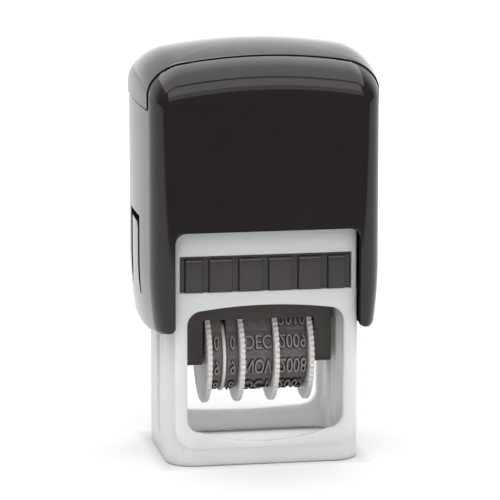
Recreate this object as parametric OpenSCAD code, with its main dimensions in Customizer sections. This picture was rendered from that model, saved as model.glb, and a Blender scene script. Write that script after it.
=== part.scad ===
// Self-inking date stamp: a hand-pressed cap, a base frame with a slide-in ink cartridge, and a
// carriage with four date wheels that turns over on its way down and prints through the base.
// Millimetres. The base stands on z = 0, the window with the date wheels faces -Y, +X is the right.

/* [Base frame] */
// Width of the base frame
base_w = 52; // [46:0.5:60]
// Depth of the base frame
base_d = 40; // [37:0.5:48]
// Radius of the upright corners
base_corner_r = 7; // [5:0.1:8]
// Thickness of the front and back walls
end_wall = 1.8; // [1.2:0.1:2.4]
// Thickness of the side walls
side_wall = 2.4; // [1.8:0.1:3]
// Height of the front and back panels' lower edge above the table
plinth_h = 4.7; // [3:0.1:5.2]
// How far the panels stand proud
panel_proud = 0.25; // [0.1:0.05:0.4]
// Radius of the panels' lower corners
panel_r = 5.5; // [3:0.1:8]
// Window bottom edge at its middle
window_low = 6; // [5:0.1:9]
// How much the window bottom rises at the sides
window_sag = 4.2; // [1:0.1:6]
// How much the window top drops at the sides
window_rise = 1.8; // [0.5:0.1:4]
// Radius of the window corners
window_r = 4; // [2:0.1:6]

/* [Ink cartridge] */
// Height of the ink pad's face above the table
pad_z = 47; // [42:0.5:52]
// Height of the cartridge slot
slot_h = 10; // [8:0.1:14]
// Number of grip panels on the front of the cartridge
grip_panels = 6; // [3:1:9]
// Width of the ribs between the panels
grip_rib = 1.1; // [0.6:0.1:2]
// Depth of the grip panels
grip_depth = 0.7; // [0.3:0.1:1.2]
// Thickness of the felt pad
felt_t = 5.5; // [3:0.1:6.5]

/* [Cap] */
// How far the cap stands out from the base on the left and right
cap_side = 5.9; // [4.6:0.1:8]
// How far the cap stands out from the base at the front and back
cap_front = 4.2; // [3.6:0.1:8]
// Wall thickness of the cap
cap_wall = 2.2; // [1.8:0.1:2.6]
// Plan radius of the cap's upright corners
cap_corner_r = 7; // [6:0.1:12]
// How far the crown's rounded edge reaches in from the walls
edge_run = 9; // [6:0.1:11]
// How far the crown's rounded edge reaches down
edge_drop = 6.5; // [5:0.1:9]
// Radius of the crown's arch from left to right
arch_r = 140; // [90:1:300]
// Radius of the crown's dome from front to back
dome_r = 55; // [50:1:200]
// Room between the pressed cap's crown and the base
crown_room = 12.6; // [11:0.1:20]
// White strip above the cartridge that the cap leaves open
brow = 6.9; // [5:0.1:12]
// Radius of the cut-out's upper corners
cutout_r = 3; // [1:0.1:6]
// How much the legs draw in towards their lower ends
leg_inset = 2.1; // [0.5:0.1:2.4]
// How much the legs' ends rise towards the front
leg_rise = 3.5; // [0:0.1:5]
// Lowest place of the legs' ends behind the cap's middle
leg_mid = 7; // [0:0.5:10]
// Thickness of the top cover
cover_t = 1.7; // [1.2:0.1:2.2]
// Distance of the top cover's front seam from the middle
cover_front = 16; // [10:0.1:18]
// Height of the top cover's lobes below the crown
cover_drop = 16.2; // [12:0.1:22]
// Seam between the top cover and the cap
seam = 0.25; // [0.15:0.05:0.5]

/* [Lock tabs] */
// Width of a lock tab
tab_w = 15; // [10:0.5:16]
// Length of a lock tab
tab_l = 20.2; // [14:0.1:21]
// Middle of the tabs behind the cap's middle
tab_y = 4.5; // [-4:0.5:5]
// Slit around a tab
tab_slit = 0.4; // [0.3:0.05:0.6]
// Finger gap above a tab
tab_gap = 2; // [1:0.1:3]

/* [Carriage] */
// Distance from the carriage's pivot to the printing face
face_r = 6.6; // [6:0.1:7.5]
// Thickness of the text plate
die_t = 3; // [2.2:0.1:3.6]
// Thickness of the plate that carries it
holder_t = 2; // [1.5:0.1:3]
// Width of the text plate
die_w = 31; // [30:0.5:33]
// Depth of the text plate
die_d = 20; // [18:0.5:21]
// Radius of the pivot pins
pivot_r = 2.3; // [1.8:0.1:2.5]
// Radius of the turn pins
turn_pin_r = 1.4; // [1:0.1:1.6]
// Distance of the turn pins from the pivot
turn_r = 6; // [5.5:0.1:6.4]

/* [Date wheels] */
// Radius of the toothed discs over their teeth
disc_r = 13.6; // [12.5:0.1:14]
// Thickness of the discs
disc_t = 1.3; // [1:0.1:1.6]
// Number of teeth around a disc
disc_teeth = 54; // [30:1:72]
// Depth of the teeth
tooth_h = 0.55; // [0.3:0.05:1]
// Thickness of the plain ring between the day wheels
ring_t = 0.9; // [0.6:0.1:1.2]
// Radius of the hubs that carry the bands
hub_r = 8.2; // [7.5:0.1:8.8]
// Radius of the wheel axle
axle_r = 1.5; // [1.2:0.1:2]
// Width of a day band
day_w = 3; // [2.6:0.1:3.2]
// Width of the month band
month_w = 7.6; // [7:0.1:8]
// Width of the year band
year_w = 7.7; // [7:0.1:8]
// Thickness of a band
band_t = 1.2; // [0.9:0.1:1.4]
// Height of the type on a band
type_h = 0.9; // [0.5:0.1:1.1]
// Length of one row of type along the band
row_l = 3.8; // [3:0.1:4.2]
// Rows of type around a band
rows = 12; // [10:1:13]

/* [Return spring] */
// Wire diameter
wire_d = 1.2; // [0.8:0.1:1.3]
// Radius to the middle of the wire
coil_r = 7.2; // [6.8:0.1:7.8]
// Number of turns
turns = 9; // [7:1:10]

/* [Fits] */
// Gap between the ink pad and the text plate
ink_gap = 0.3; // [0.2:0.05:0.6]
// Gap under the printing face when it is pressed down
print_gap = 0.1; // [0.05:0.05:0.3]
// Gap around the pins in their guides
guide_gap = 0.2; // [0.15:0.05:0.3]
// Running gap of a shaft in its bore
run_gap = 0.05; // [0.02:0.01:0.08]
// Gap of a sliding or turning face from its neighbour
side_gap = 0.15; // [0.1:0.05:0.2]
// Gap of a part that is fixed in its seat
seat_gap = 0.05; // [0.02:0.01:0.1]

/* [Hidden] */
$fn = 64;
// Spare length of a cut, so that it passes right through.
through = 1;
face_z = pad_z - ink_gap;
pivot_z = face_z - face_r;
travel = pivot_z - face_r - print_gap;
slot_top = pad_z + slot_h;
deck_t = 2;
deck_z = slot_top + 1.5;
cutout_top = slot_top + brow;
// The base's walls reach a little above the cap's cut-out.
base_top = cutout_top + 2.3;
height = base_top + travel + crown_room;
// The pressed legs stop just above the table, and they draw in over this length.
leg_low = travel + 0.4;
taper_l = 20.5;

base_in_x = base_w / 2 - side_wall;
base_in_y = base_d / 2 - end_wall;
base_in_r = base_corner_r - end_wall;
panel_half = base_w / 2 - 1.6;
panel_t = 4;
// The guide plates on the side walls, and the rim around their grooves.
guide_t = 3;
guide_x = base_in_x - guide_t;
guide_rim = 3.4;
groove_floor = 0.2;
cheek_out = guide_x - 0.6;
post_h = 5;
window_half = base_w / 2 - 4.8;
window_high = pad_z - 3.6;
slot_half = base_w / 2 - 2.8;
slot_depth = 5;
push_half = slot_half - 6;
push_rim = 1.5;
ledge_t = 1.75;
tray_half = base_in_x - 0.8;
grip_half = slot_half - 0.3;
grip_back = 0.8;
tray_front = base_d / 2 - slot_depth - 0.2;
// The felt is larger than the text plate by this much all round.
felt_over = 3;

cap_half_x = base_w / 2 + cap_side;
cap_half_y = base_d / 2 + cap_front;
cutout_half = base_w / 2 - 1;
// Bosses and ribs inside the legs stand this far from the base.
leg_gap = 0.35;
boss_half = 5;
rib_t = 1.6;
rib_y = tab_y + tab_w / 2 + rib_t / 2 + 0.6;
cover_z = height - cover_drop;
// The cap's thin lower wall ends this high, under the step that carries the cover.
thin_top = cover_z - 3;
inner_skin = cover_t + seam;
roof_t = 1.8;
roof_in = inner_skin + roof_t;
spring_low = deck_z + deck_t;
spring_high = height - roof_in - 1;
cup_r = coil_r + wire_d / 2 + 0.6;
cup_wall = 1.6;
cup_h = 6;

// Along X: toothed disc, tens band, ring, units band, disc, month band, disc, year band, disc.
stack = 4 * disc_t + 2 * day_w + ring_t + month_w + year_w + 11 * side_gap;
disc1_x = -stack / 2;
tens_x = disc1_x + disc_t + side_gap;
ring_x = tens_x + day_w + side_gap;
units_x = ring_x + ring_t + 2 * side_gap;
disc2_x = units_x + day_w + side_gap;
month_x = disc2_x + disc_t + 2 * side_gap;
disc3_x = month_x + month_w + side_gap;
year_x = disc3_x + disc_t + 2 * side_gap;
disc4_x = year_x + year_w + side_gap;
cheek_in = stack / 2 + 0.6;
// Depth of the blind holes that the pins sit in, from the cheek's outer face.
pin_seat = cheek_out - cheek_in - 1.4;
pin_end_gap = 0.1;
pivot_reach = 2.2;
cheek_half_y = 8.5;
cheek_r = 2;
skirt_t = 1.6;
skirt_h = 4;

wheel_z = face_z - die_t - holder_t - 1.5 - disc_r;
ring_r = hub_r + side_gap + band_t + type_h;
bar_top = face_z - type_h - band_t - side_gap;
bar_half = 2.8;
bar_t = 3;
bar_r = 1.4;
holder_top = face_z - die_t;
holder_low = holder_top - holder_t;
holder_half_y = die_d / 2 + 1;
date_half_x = stack / 2 - disc_t + 0.4;
// The bands spread below the type bar, so their opening is wider than the bar.
date_half_y = bar_half + band_t + type_h + 0.2 + 0.4 * (bar_top - holder_low);

module along_x(x0, x1) {
    translate([x0, 0, 0]) rotate([90, 0, 90]) linear_extrude(x1 - x0) children();
}

module along_y(y0, y1) {
    translate([0, y1, 0]) rotate([90, 0, 0]) linear_extrude(y1 - y0) children();
}

module both_sides() {
    children();
    mirror([1, 0, 0]) children();
}

module side(s) {
    mirror([s < 0 ? 1 : 0, 0, 0]) children();
}

module rod_x(x0, x1, y, z, r) {
    translate([x0, y, z]) rotate([0, 90, 0]) cylinder(h = x1 - x0, r = r);
}

module block(x0, x1, y0, y1, z0, z1) {
    translate([x0, y0, z0]) cube([x1 - x0, y1 - y0, z1 - z0]);
}

function arc(cx, cy, r, a0, a1, n) =
    [for (i = [0 : n]) let (a = a0 + (a1 - a0) * i / n) [cx + r * cos(a), cy + r * sin(a)]];

function plan(hx, hy, r) = concat(
    arc(hx - r, hy - r, r, 0, 90, 8),
    arc(-hx + r, hy - r, r, 90, 180, 8),
    arc(-hx + r, -hy + r, r, 180, 270, 8),
    arc(hx - r, -hy + r, r, 270, 360, 8)
);

module upright(hx, hy, r, z0, z1) {
    translate([0, 0, z0]) linear_extrude(z1 - z0) polygon(plan(hx, hy, r));
}

// Base frame

// The window's lower and upper edges are shallow arcs with rounded corners between them.
function sill(x) = window_low + window_sag * pow(x / window_half, 2);
function lintel(x) = window_high - window_rise * pow(x / window_half, 2);

function window_outline() = let (s = window_half - window_r) concat(
    [for (i = [-6 : 6]) [s * i / 6, sill(s * i / 6)]],
    arc(s, sill(s) + window_r, window_r, -80, 0, 5),
    arc(s, lintel(s) - window_r, window_r, 0, 80, 5),
    [for (i = [6 : -1 : -6]) [s * i / 6, lintel(s * i / 6)]],
    arc(-s, lintel(s) - window_r, window_r, 100, 180, 5),
    arc(-s, sill(s) + window_r, window_r, 180, 260, 5)
);

// Path of a turn pin while the cap goes down and the carriage turns over, and its unit normal.
function cam(a) = [turn_r * cos(a), pivot_z - travel * a / 180 - turn_r * sin(a)];
function cam_normal(a) = let (
    d = [-turn_r * sin(a), -travel / PI - turn_r * cos(a)]
) [-d[1], d[0]] / norm(d);

function cam_side(off) = [for (i = [0 : 30]) cam(i * 6) + off * cam_normal(i * 6)];

module cam_groove(half) {
    polygon(concat(cam_side(half), [for (i = [30 : -1 : 0]) cam(i * 6) - half * cam_normal(i * 6)]));
    translate(cam(0)) circle(half);
    translate(cam(180)) circle(half);
}

module pivot_slot(half) {
    translate([0, pivot_z]) circle(half);
    translate([0, pivot_z - travel]) circle(half);
    translate([-half, pivot_z - travel]) square([2 * half, travel]);
}

// Flat panel around the window, with rounded lower corners.
module panel_outline() {
    polygon(concat(
        [[panel_half, base_top], [-panel_half, base_top]],
        arc(-panel_half + panel_r, plinth_h + panel_r, panel_r, 180, 270, 6),
        arc(panel_half - panel_r, plinth_h + panel_r, panel_r, 270, 360, 6)
    ));
}

module base_frame() {
    color([0.85, 0.86, 0.85]) difference() {
        union() {
            difference() {
                union() {
                    upright(base_w / 2, base_d / 2 - panel_proud, base_corner_r, 0, base_top);
                    along_y(-base_d / 2, -base_d / 2 + panel_t) panel_outline();
                    along_y(base_d / 2 - panel_t, base_d / 2) panel_outline();
                }
                upright(base_in_x, base_in_y, base_in_r, -through, deck_z);
                upright(base_in_x, base_in_y, base_in_r, deck_z + deck_t, base_top + through);
                block(-base_in_x, base_in_x, -base_in_y, base_in_y, pad_z - seat_gap, slot_top);
            }
            both_sides() {
                // Ledge that the ink cartridge slides on.
                block(guide_x, base_in_x + side_wall / 2, -base_in_y - end_wall / 2,
                    base_in_y + end_wall / 2, pad_z - ledge_t - seat_gap, pad_z - seat_gap);
                // Plate with the groove that turns the carriage over.
                block(guide_x, base_in_x + side_wall / 2, -turn_r - guide_rim, turn_r + guide_rim,
                    face_r + print_gap - pivot_r - guide_gap, pivot_z + guide_rim);
            }
            // Post that keeps the return spring in place.
            translate([0, 0, deck_z]) cylinder(h = deck_t + post_h, r = coil_r - wire_d / 2 - 0.8);
        }
        along_y(-base_d, base_d) polygon(window_outline());
        // Cartridge slot at the front, and a finger opening at the back to push it out.
        block(-slot_half, slot_half, -base_d, -base_d / 2 + slot_depth, pad_z, slot_top);
        block(-push_half, push_half, 0, base_d, pad_z + push_rim, slot_top - push_rim);
        along_x(-base_w, base_w) pivot_slot(pivot_r + guide_gap);
        both_sides() along_x(guide_x - through, base_in_x - groove_floor)
            cam_groove(turn_pin_r + guide_gap);
    }
}

// Return spring: one unbroken tube, its end turns closer than the turns between them.

end_pitch = wire_d + 0.55;
mid_pitch = (spring_high - spring_low - wire_d - 2 * end_pitch) / (turns - 2);
rings = 8;
function coil_z(t) = spring_low + wire_d / 2
    + end_pitch * (min(t, 1) + max(t - turns + 1, 0))
    + mid_pitch * min(max(t - 1, 0), turns - 2);
function coil_mid(i) = let (t = i / rings) [coil_r * cos(360 * t), coil_r * sin(360 * t), coil_z(t)];
coil_n = turns * rings;
coil_points = [
    for (i = [0 : coil_n]) for (k = [0 : 5]) let (a = 360 * i / rings, b = 60 * k)
        coil_mid(i) + wire_d / 2 * [cos(b) * cos(a), cos(b) * sin(a), sin(b)]
];
coil_faces = concat(
    [[for (k = [0 : 5]) k]],
    [for (i = [0 : coil_n - 1]) for (k = [0 : 5])
        [i * 6 + k, (i + 1) * 6 + k, (i + 1) * 6 + (k + 1) % 6, i * 6 + (k + 1) % 6]],
    [[for (k = [5 : -1 : 0]) coil_n * 6 + k]]
);
coil_gap = min([for (i = [0 : coil_n]) for (j = [i + rings / 2 : 1 : coil_n])
    norm(coil_mid(i) - coil_mid(j)) - wire_d]);
echo(least_spring_gap = coil_gap);

module return_spring() {
    color([0.72, 0.73, 0.75]) polyhedron(coil_points, coil_faces);
}

// Ink cartridge

panel_pitch = 2 * grip_half / grip_panels;
grip_face = -base_d / 2 + grip_back;
// The tray stands clear of the text plate by this much, and its top clear of the slot.
tray_lift = 0.5;
tray_top = slot_top - 0.2;
panel_rim = 1;

module ink_tray() {
    color([0.2, 0.19, 0.19]) difference() {
        union() {
            block(-tray_half, tray_half, -tray_front, base_in_y - 0.3, pad_z, tray_top);
            block(-grip_half, grip_half, grip_face, -tray_front, pad_z + 0.2, tray_top);
        }
        block(-guide_x, guide_x, -tray_front + 1, base_d, pad_z - through, pad_z + tray_lift);
        felt_space(0);
        for (i = [0 : grip_panels - 1]) let (x = -grip_half + panel_pitch * i)
            block(x + grip_rib / 2, x + panel_pitch - grip_rib / 2, -base_d, grip_face + grip_depth,
                pad_z + panel_rim, tray_top - panel_rim);
    }
}

module felt_space(gap) {
    hx = die_w / 2 + felt_over - gap;
    hy = die_d / 2 + felt_over - gap;
    block(-hx, hx, -hy, hy, gap > 0 ? pad_z : pad_z - through, pad_z + felt_t - gap);
}

module ink_pad() {
    color([0.15, 0.16, 0.35]) felt_space(seat_gap);
}

// Cap

// Outline of the crown below its top, from the right to the left: its arc, rounded off at both ends.
function crown_outline(half, arc_r, inset) = let (
    right = [for (a = [0 : 15 : 90]) let (u = half - inset - (edge_run - inset) * (1 - cos(a)))
        [u, -pow(u, 2) / (2 * arc_r) - (edge_drop - inset) * (1 - sin(a))]]
) concat(
    right,
    [for (i = [5 : -1 : -5]) let (u = (half - edge_run) * i / 6) [u, -pow(u, 2) / (2 * arc_r)]],
    [for (i = [len(right) - 1 : -1 : 0]) [-right[i][0], right[i][1]]]
);

// The crown's outline turned about an axis that lies spin_r below its top.
module crown_turned(half, arc_r, spin_r, inset) {
    rotate_extrude($fn = 180) polygon(concat(
        [[0, half - inset]],
        [for (p = crown_outline(half, arc_r, inset)) [spin_r - inset + p[1], p[0]]],
        [[0, -half + inset]]
    ));
}

// Half width of the cap's outside at a height above the legs' lowest place.
function leg_x(h) = cap_half_x - leg_inset * pow(max(1 - h / taper_l, 0), 2);
leg_steps = [0, 0.1 * taper_l, 0.2 * taper_l, 0.35 * taper_l, 0.5 * taper_l, 0.7 * taper_l];

// The legs' outline from the front, and clear of the walls above them.
function front_outline(inset) = let (
    wide = cap_half_x + through,
    right = concat(
        [[leg_x(0) - inset, leg_low - 2 * through]],
        [for (h = leg_steps) [leg_x(h) - inset, leg_low + h]],
        [[cap_half_x - inset + 0.1, leg_low + taper_l], [wide, leg_low + taper_l], [wide, height + through]]
    )
) concat(right, [for (i = [len(right) - 1 : -1 : 0]) [-right[i][0], right[i][1]]]);

// The cap's outside, drawn in by an inset. Its crown arches from left to right and domes from front to back.
module cap_form(inset) {
    intersection() {
        upright(cap_half_x - inset, cap_half_y - inset, cap_corner_r - inset, leg_low - 2 * through,
            height + through);
        along_y(-cap_half_y - through, cap_half_y + through) polygon(front_outline(inset));
        translate([0, 0, height - arch_r]) rotate([-90, 0, 0])
            crown_turned(cap_half_y, dome_r, arch_r, inset);
        translate([0, 0, height - dome_r]) rotate([0, 90, 0])
            crown_turned(cap_half_x, arch_r, dome_r, inset);
    }
}

// All above the legs' ends, which are lowest a little behind the middle.
function leg_end(y) = leg_low + leg_rise * pow((y - leg_mid) / (cap_half_y + leg_mid), 2);

module above_leg_ends() {
    reach = cap_half_y + through;
    along_x(-cap_half_x - through, cap_half_x + through) polygon(concat(
        [for (i = [-8 : 8]) [reach * i / 8, leg_end(reach * i / 8)]],
        [[reach, height + through], [-reach, height + through]]
    ));
}

module cutout_outline() {
    polygon(concat(
        [[-cutout_half, leg_low - 2 * through], [cutout_half, leg_low - 2 * through]],
        arc(cutout_half - cutout_r, cutout_top - cutout_r, cutout_r, 0, 90, 6),
        arc(-cutout_half + cutout_r, cutout_top - cutout_r, cutout_r, 90, 180, 6)
    ));
}

// The space that the top cover takes, grown by a gap on its open sides.
module cover_space(gap) {
    block(-cap_half_x - through, cap_half_x + through, -cover_front - gap, cap_half_y + through,
        cover_z - gap, height + through);
}

// The tabs turn on a round root in the middle of the cap's wall.
tab_z = max(leg_low + 7.8, cutout_top - 0.4 - tab_l);
root_r = cap_wall / 2 - 0.1;
root_z = tab_z + root_r;
root_x = leg_x(root_z - leg_low) - cap_wall / 2;

module cap_shell() {
    color([0.13, 0.12, 0.12]) intersection() {
        above_leg_ends();
        difference() {
            union() {
                difference() {
                    cap_form(0);
                    cover_space(seam);
                }
                cap_form(inner_skin);
            }
            difference() {
                cap_form(roof_in);
                // Cup that holds the upper end of the return spring.
                difference() {
                    translate([0, 0, spring_high - cup_h]) cylinder(h = height, r = cup_r + cup_wall);
                    translate([0, 0, spring_high - cup_h - through])
                        cylinder(h = cup_h + through, r = cup_r);
                }
            }
            // Below the cover the wall is thinner, except at the pivot bosses and the guide ribs.
            difference() {
                intersection() {
                    cap_form(cap_wall);
                    block(-cap_half_x, cap_half_x, -cap_half_y, cap_half_y, leg_low - through, thin_top);
                }
                both_sides() {
                    block(base_w / 2 + leg_gap, cap_half_x, -boss_half, boss_half, leg_low - through,
                        pivot_z + pivot_r + 1);
                    for (y = [-rib_y, rib_y])
                        block(base_w / 2 + leg_gap, cap_half_x, y - rib_t / 2, y + rib_t / 2,
                            leg_low - through, cutout_top - 1.5);
                }
            }
            along_y(-cap_half_y - 2, cap_half_y + 2) cutout_outline();
            both_sides() {
                // Pivot hole, and slit around the lock tab.
                rod_x(base_w / 2, base_w / 2 + pivot_reach + pin_end_gap, 0, pivot_z, pivot_r + run_gap);
                block(base_w / 2 + leg_gap, cap_half_x + through, tab_y - tab_w / 2, tab_y + tab_w / 2,
                    root_z, tab_z + tab_l + tab_gap);
                translate([root_x, tab_y - tab_w / 2, root_z]) rotate([-90, 0, 0])
                    cylinder(h = tab_w, r = root_r + 0.3);
            }
        }
    }
}

module top_cover() {
    color([0.12, 0.11, 0.11]) difference() {
        intersection() {
            cap_form(0);
            cover_space(0);
        }
        cap_form(cover_t);
    }
}

function tab_outline() = let (
    skin = 0.1,
    n = 6,
    hs = [for (i = [0 : n]) root_z + (tab_z + tab_l - root_z) * i / n - leg_low]
) concat(
    [for (h = hs) [leg_x(h) - skin, leg_low + h]],
    [for (i = [n : -1 : 0]) [leg_x(hs[i]) - cap_wall + skin, leg_low + hs[i]]]
);

module lock_tab(s) {
    nib_x = leg_x(tab_z + tab_l - leg_low) - cap_wall;
    nib_h = 0.5;
    nib_half = 2;
    color([0.13, 0.12, 0.12]) side(s) {
        along_y(tab_y - tab_w / 2 + tab_slit, tab_y + tab_w / 2 - tab_slit) {
            polygon(tab_outline());
            translate([root_x, root_z]) circle(root_r);
        }
        // Nib that catches the base when the stamp is locked down.
        block(nib_x - nib_h, nib_x + nib_h, tab_y - nib_half, tab_y + nib_half, tab_z + tab_l - 2.5,
            tab_z + tab_l - 0.8);
    }
}

// Carriage

cheek_low = wheel_z - axle_r - 0.5;

function cheek_outline() = concat(
    [[-holder_half_y, holder_low], [-cheek_half_y, holder_low - skirt_h - 1.5]],
    arc(-cheek_half_y + cheek_r, cheek_low + cheek_r, cheek_r, 180, 270, 4),
    arc(cheek_half_y - cheek_r, cheek_low + cheek_r, cheek_r, 270, 360, 4),
    [[cheek_half_y, holder_low - skirt_h - 1.5], [holder_half_y, holder_low],
        [holder_half_y, holder_top], [-holder_half_y, holder_top]]
);

module bar_outline(grow) {
    polygon(concat(
        arc(bar_half - bar_r, bar_top - bar_r, bar_r + grow, 0, 90, 6),
        arc(-bar_half + bar_r, bar_top - bar_r, bar_r + grow, 90, 180, 6),
        arc(-bar_half + bar_r, bar_top - bar_t + bar_r, bar_r + grow, 180, 270, 6),
        arc(bar_half - bar_r, bar_top - bar_t + bar_r, bar_r + grow, 270, 360, 6)
    ));
}

// Opening that the typed bands come up through.
module date_opening(z0, z1) {
    block(-date_half_x, date_half_x, -date_half_y, date_half_y, z0, z1);
}

module bar_seat() {
    along_x(-cheek_in - 1, cheek_in + 1) bar_outline(seat_gap);
}

module carriage_frame() {
    color([0.22, 0.2, 0.2]) difference() {
        union() {
            block(-cheek_out, cheek_out, -holder_half_y, holder_half_y, holder_low, holder_top);
            for (y = [-holder_half_y, holder_half_y - skirt_t])
                block(-cheek_out, cheek_out, y, y + skirt_t, holder_low - skirt_h, holder_top);
            both_sides() {
                along_x(cheek_in, cheek_out) polygon(cheek_outline());
                rod_x(stack / 2 + side_gap, cheek_in + 1, 0, wheel_z, axle_r + 1.6);
                rod_x(cheek_out - 1, guide_x - 0.3, 0, pivot_z, pivot_r + 0.9);
            }
        }
        date_opening(holder_low - through, holder_top + through);
        bar_seat();
        rod_x(-cheek_out - through, cheek_out + through, 0, wheel_z, axle_r + seat_gap);
        both_sides() {
            rod_x(cheek_out - pin_seat, guide_x, 0, pivot_z, pivot_r + seat_gap);
            rod_x(cheek_out - pin_seat, guide_x, turn_r, pivot_z, turn_pin_r + seat_gap);
        }
    }
}

module text_plate() {
    rim = 0.6;
    relief = 1;
    text_row_l = die_w - 9;
    text_row_w = 1.8;
    color([0.45, 0.2, 0.2]) difference() {
        block(-die_w / 2, die_w / 2, -die_d / 2, die_d / 2, holder_top, face_z);
        date_opening(holder_top - through, face_z + through);
        bar_seat();
        // The raised border and two raised text rows print; the ground between them doesn't.
        difference() {
            block(-die_w / 2 + rim, die_w / 2 - rim, -die_d / 2 + rim, die_d / 2 - rim, face_z - relief,
                face_z + through);
            block(-date_half_x - rim, date_half_x + rim, -date_half_y - rim, date_half_y + rim, holder_top,
                face_z + through);
            for (s = [-1, 1])
                translate([0, s * (date_half_y + die_d / 2) / 2, face_z])
                    cube([text_row_l, text_row_w, die_t], center = true);
        }
    }
}

module type_bar() {
    color([0.3, 0.29, 0.29]) along_x(-cheek_in - 1 + seat_gap, cheek_in + 1 - seat_gap)
        bar_outline(0);
}

// Bands: a loop around a hub and the type bar, with rows of raised type.

core_hub = hub_r + side_gap;
core_bar = bar_r + side_gap;
bar_cy = bar_half - bar_r;
bar_cz = bar_top - bar_r;
reach = norm([bar_cy, bar_cz - wheel_z]);
tilt = atan2(bar_cz - wheel_z, bar_cy) - acos((core_hub - core_bar) / reach);
run_l = sqrt(pow(reach, 2) - pow(core_hub - core_bar, 2));
ref = band_t / 2;
bar_arc = (core_bar + ref) * (90 - tilt) * PI / 180;
hub_arc = (core_hub + ref) * (180 + 2 * tilt) * PI / 180;
half_l = bar_cy + bar_arc + run_l + hub_arc / 2;
row_pitch = 2 * half_l / rows;

// Point on the loop at a length from the middle of the type bar towards the front, and at a height
// above the loop's inner face. The back half mirrors the front half.
function loop_front(s, off) =
    s < bar_cy ? [-s, bar_cz + core_bar + off] :
    s < bar_cy + bar_arc ? let (a = 90 + (s - bar_cy) / (core_bar + ref) * 180 / PI)
        [-bar_cy + (core_bar + off) * cos(a), bar_cz + (core_bar + off) * sin(a)] :
    s < bar_cy + bar_arc + run_l ? let (t = (s - bar_cy - bar_arc) / run_l, a = 180 - tilt)
        (1 - t) * [-bar_cy + (core_bar + off) * cos(a), bar_cz + (core_bar + off) * sin(a)]
        + t * [(core_hub + off) * cos(a), wheel_z + (core_hub + off) * sin(a)] :
    let (a = 180 - tilt + (s - bar_cy - bar_arc - run_l) / (core_hub + ref) * 180 / PI)
        [(core_hub + off) * cos(a), wheel_z + (core_hub + off) * sin(a)];

function loop(s, off) = s < 0 ? loop(s + 2 * half_l, off)
    : s <= half_l ? loop_front(s, off)
    : let (p = loop_front(2 * half_l - s, off)) [-p[0], p[1]];

inner_loop = [for (i = [0 : 71]) loop(2 * half_l * i / 72, 0)];
// The first row of type lies on the middle of the type bar, where it prints.
typed_loop = [for (k = [0 : rows - 1]) let (s0 = k * row_pitch - row_l / 2) each concat(
    [for (i = [0 : 2]) loop(s0 - (row_pitch - row_l) * (1 - i / 2), band_t)],
    [for (i = [0 : 4]) loop(s0 + row_l * i / 4, band_t + type_h)],
    [loop(s0 + row_l, band_t)]
)];

module band(x, w) {
    color([0.33, 0.31, 0.32]) along_x(x, x + w) difference() {
        polygon(typed_loop);
        polygon(inner_loop);
    }
}

module wheel_axle() {
    color([0.75, 0.76, 0.78]) rod_x(-cheek_out, cheek_out, 0, wheel_z, axle_r);
}

module pivot_pin(s) {
    color([0.75, 0.76, 0.78]) side(s)
        rod_x(cheek_out - pin_seat + pin_end_gap, base_w / 2 + pivot_reach, 0, pivot_z, pivot_r);
}

module turn_pin(s) {
    color([0.75, 0.76, 0.78]) side(s)
        rod_x(cheek_out - pin_seat + pin_end_gap, base_in_x - groove_floor - 0.3, turn_r, pivot_z,
            turn_pin_r);
}

// Date wheels

function disc_outline() = [
    for (i = [0 : disc_teeth - 1]) for (k = [0 : 3])
        let (a = 360 * (i + [0.02, 0.2, 0.62, 0.8][k]) / disc_teeth, r = disc_r - tooth_h * [1, 0, 0, 1][k])
        [r * cos(a), r * sin(a)]
];

module date_wheel(disc_x, hub_x0, hub_x1) {
    color([0.84, 0.83, 0.81]) difference() {
        union() {
            along_x(disc_x, disc_x + disc_t) translate([0, wheel_z]) polygon(disc_outline());
            rod_x(hub_x0, hub_x1, 0, wheel_z, hub_r);
            children();
        }
        rod_x(-base_w, base_w, 0, wheel_z, axle_r + run_gap);
    }
}

module tens_wheel() {
    date_wheel(disc1_x, disc1_x, ring_x) rod_x(ring_x, ring_x + ring_t, 0, wheel_z, ring_r);
}

module units_wheel() {
    date_wheel(disc2_x, units_x - side_gap, disc2_x + disc_t);
}

module month_wheel() {
    date_wheel(disc3_x, month_x - side_gap, disc3_x + disc_t);
}

module year_wheel() {
    date_wheel(disc4_x, year_x - side_gap, disc4_x + disc_t);
}

base_frame();
return_spring();
ink_tray();
ink_pad();
cap_shell();
top_cover();
lock_tab(-1);  // left_lock_tab
lock_tab(1);  // right_lock_tab
carriage_frame();
text_plate();
type_bar();
band(tens_x, day_w);  // tens_band
band(units_x, day_w);  // units_band
band(month_x, month_w);  // month_band
band(year_x, year_w);  // year_band
wheel_axle();
pivot_pin(-1);  // left_pivot_pin
pivot_pin(1);  // right_pivot_pin
turn_pin(-1);  // left_turn_pin
turn_pin(1);  // right_turn_pin
tens_wheel();
units_wheel();
month_wheel();
year_wheel();
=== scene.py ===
"""Looks of a self-inking date stamp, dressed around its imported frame.

The scene is in metres. Sizes are in millimetres, apart from those of the studio. +Z is up, and the window
with the date wheels faces -Y.
"""

import logging
import math
from abc import ABC, abstractmethod
from collections.abc import Callable, Iterable, Sequence
from dataclasses import dataclass, field
from enum import Enum
from typing import NamedTuple

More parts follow.
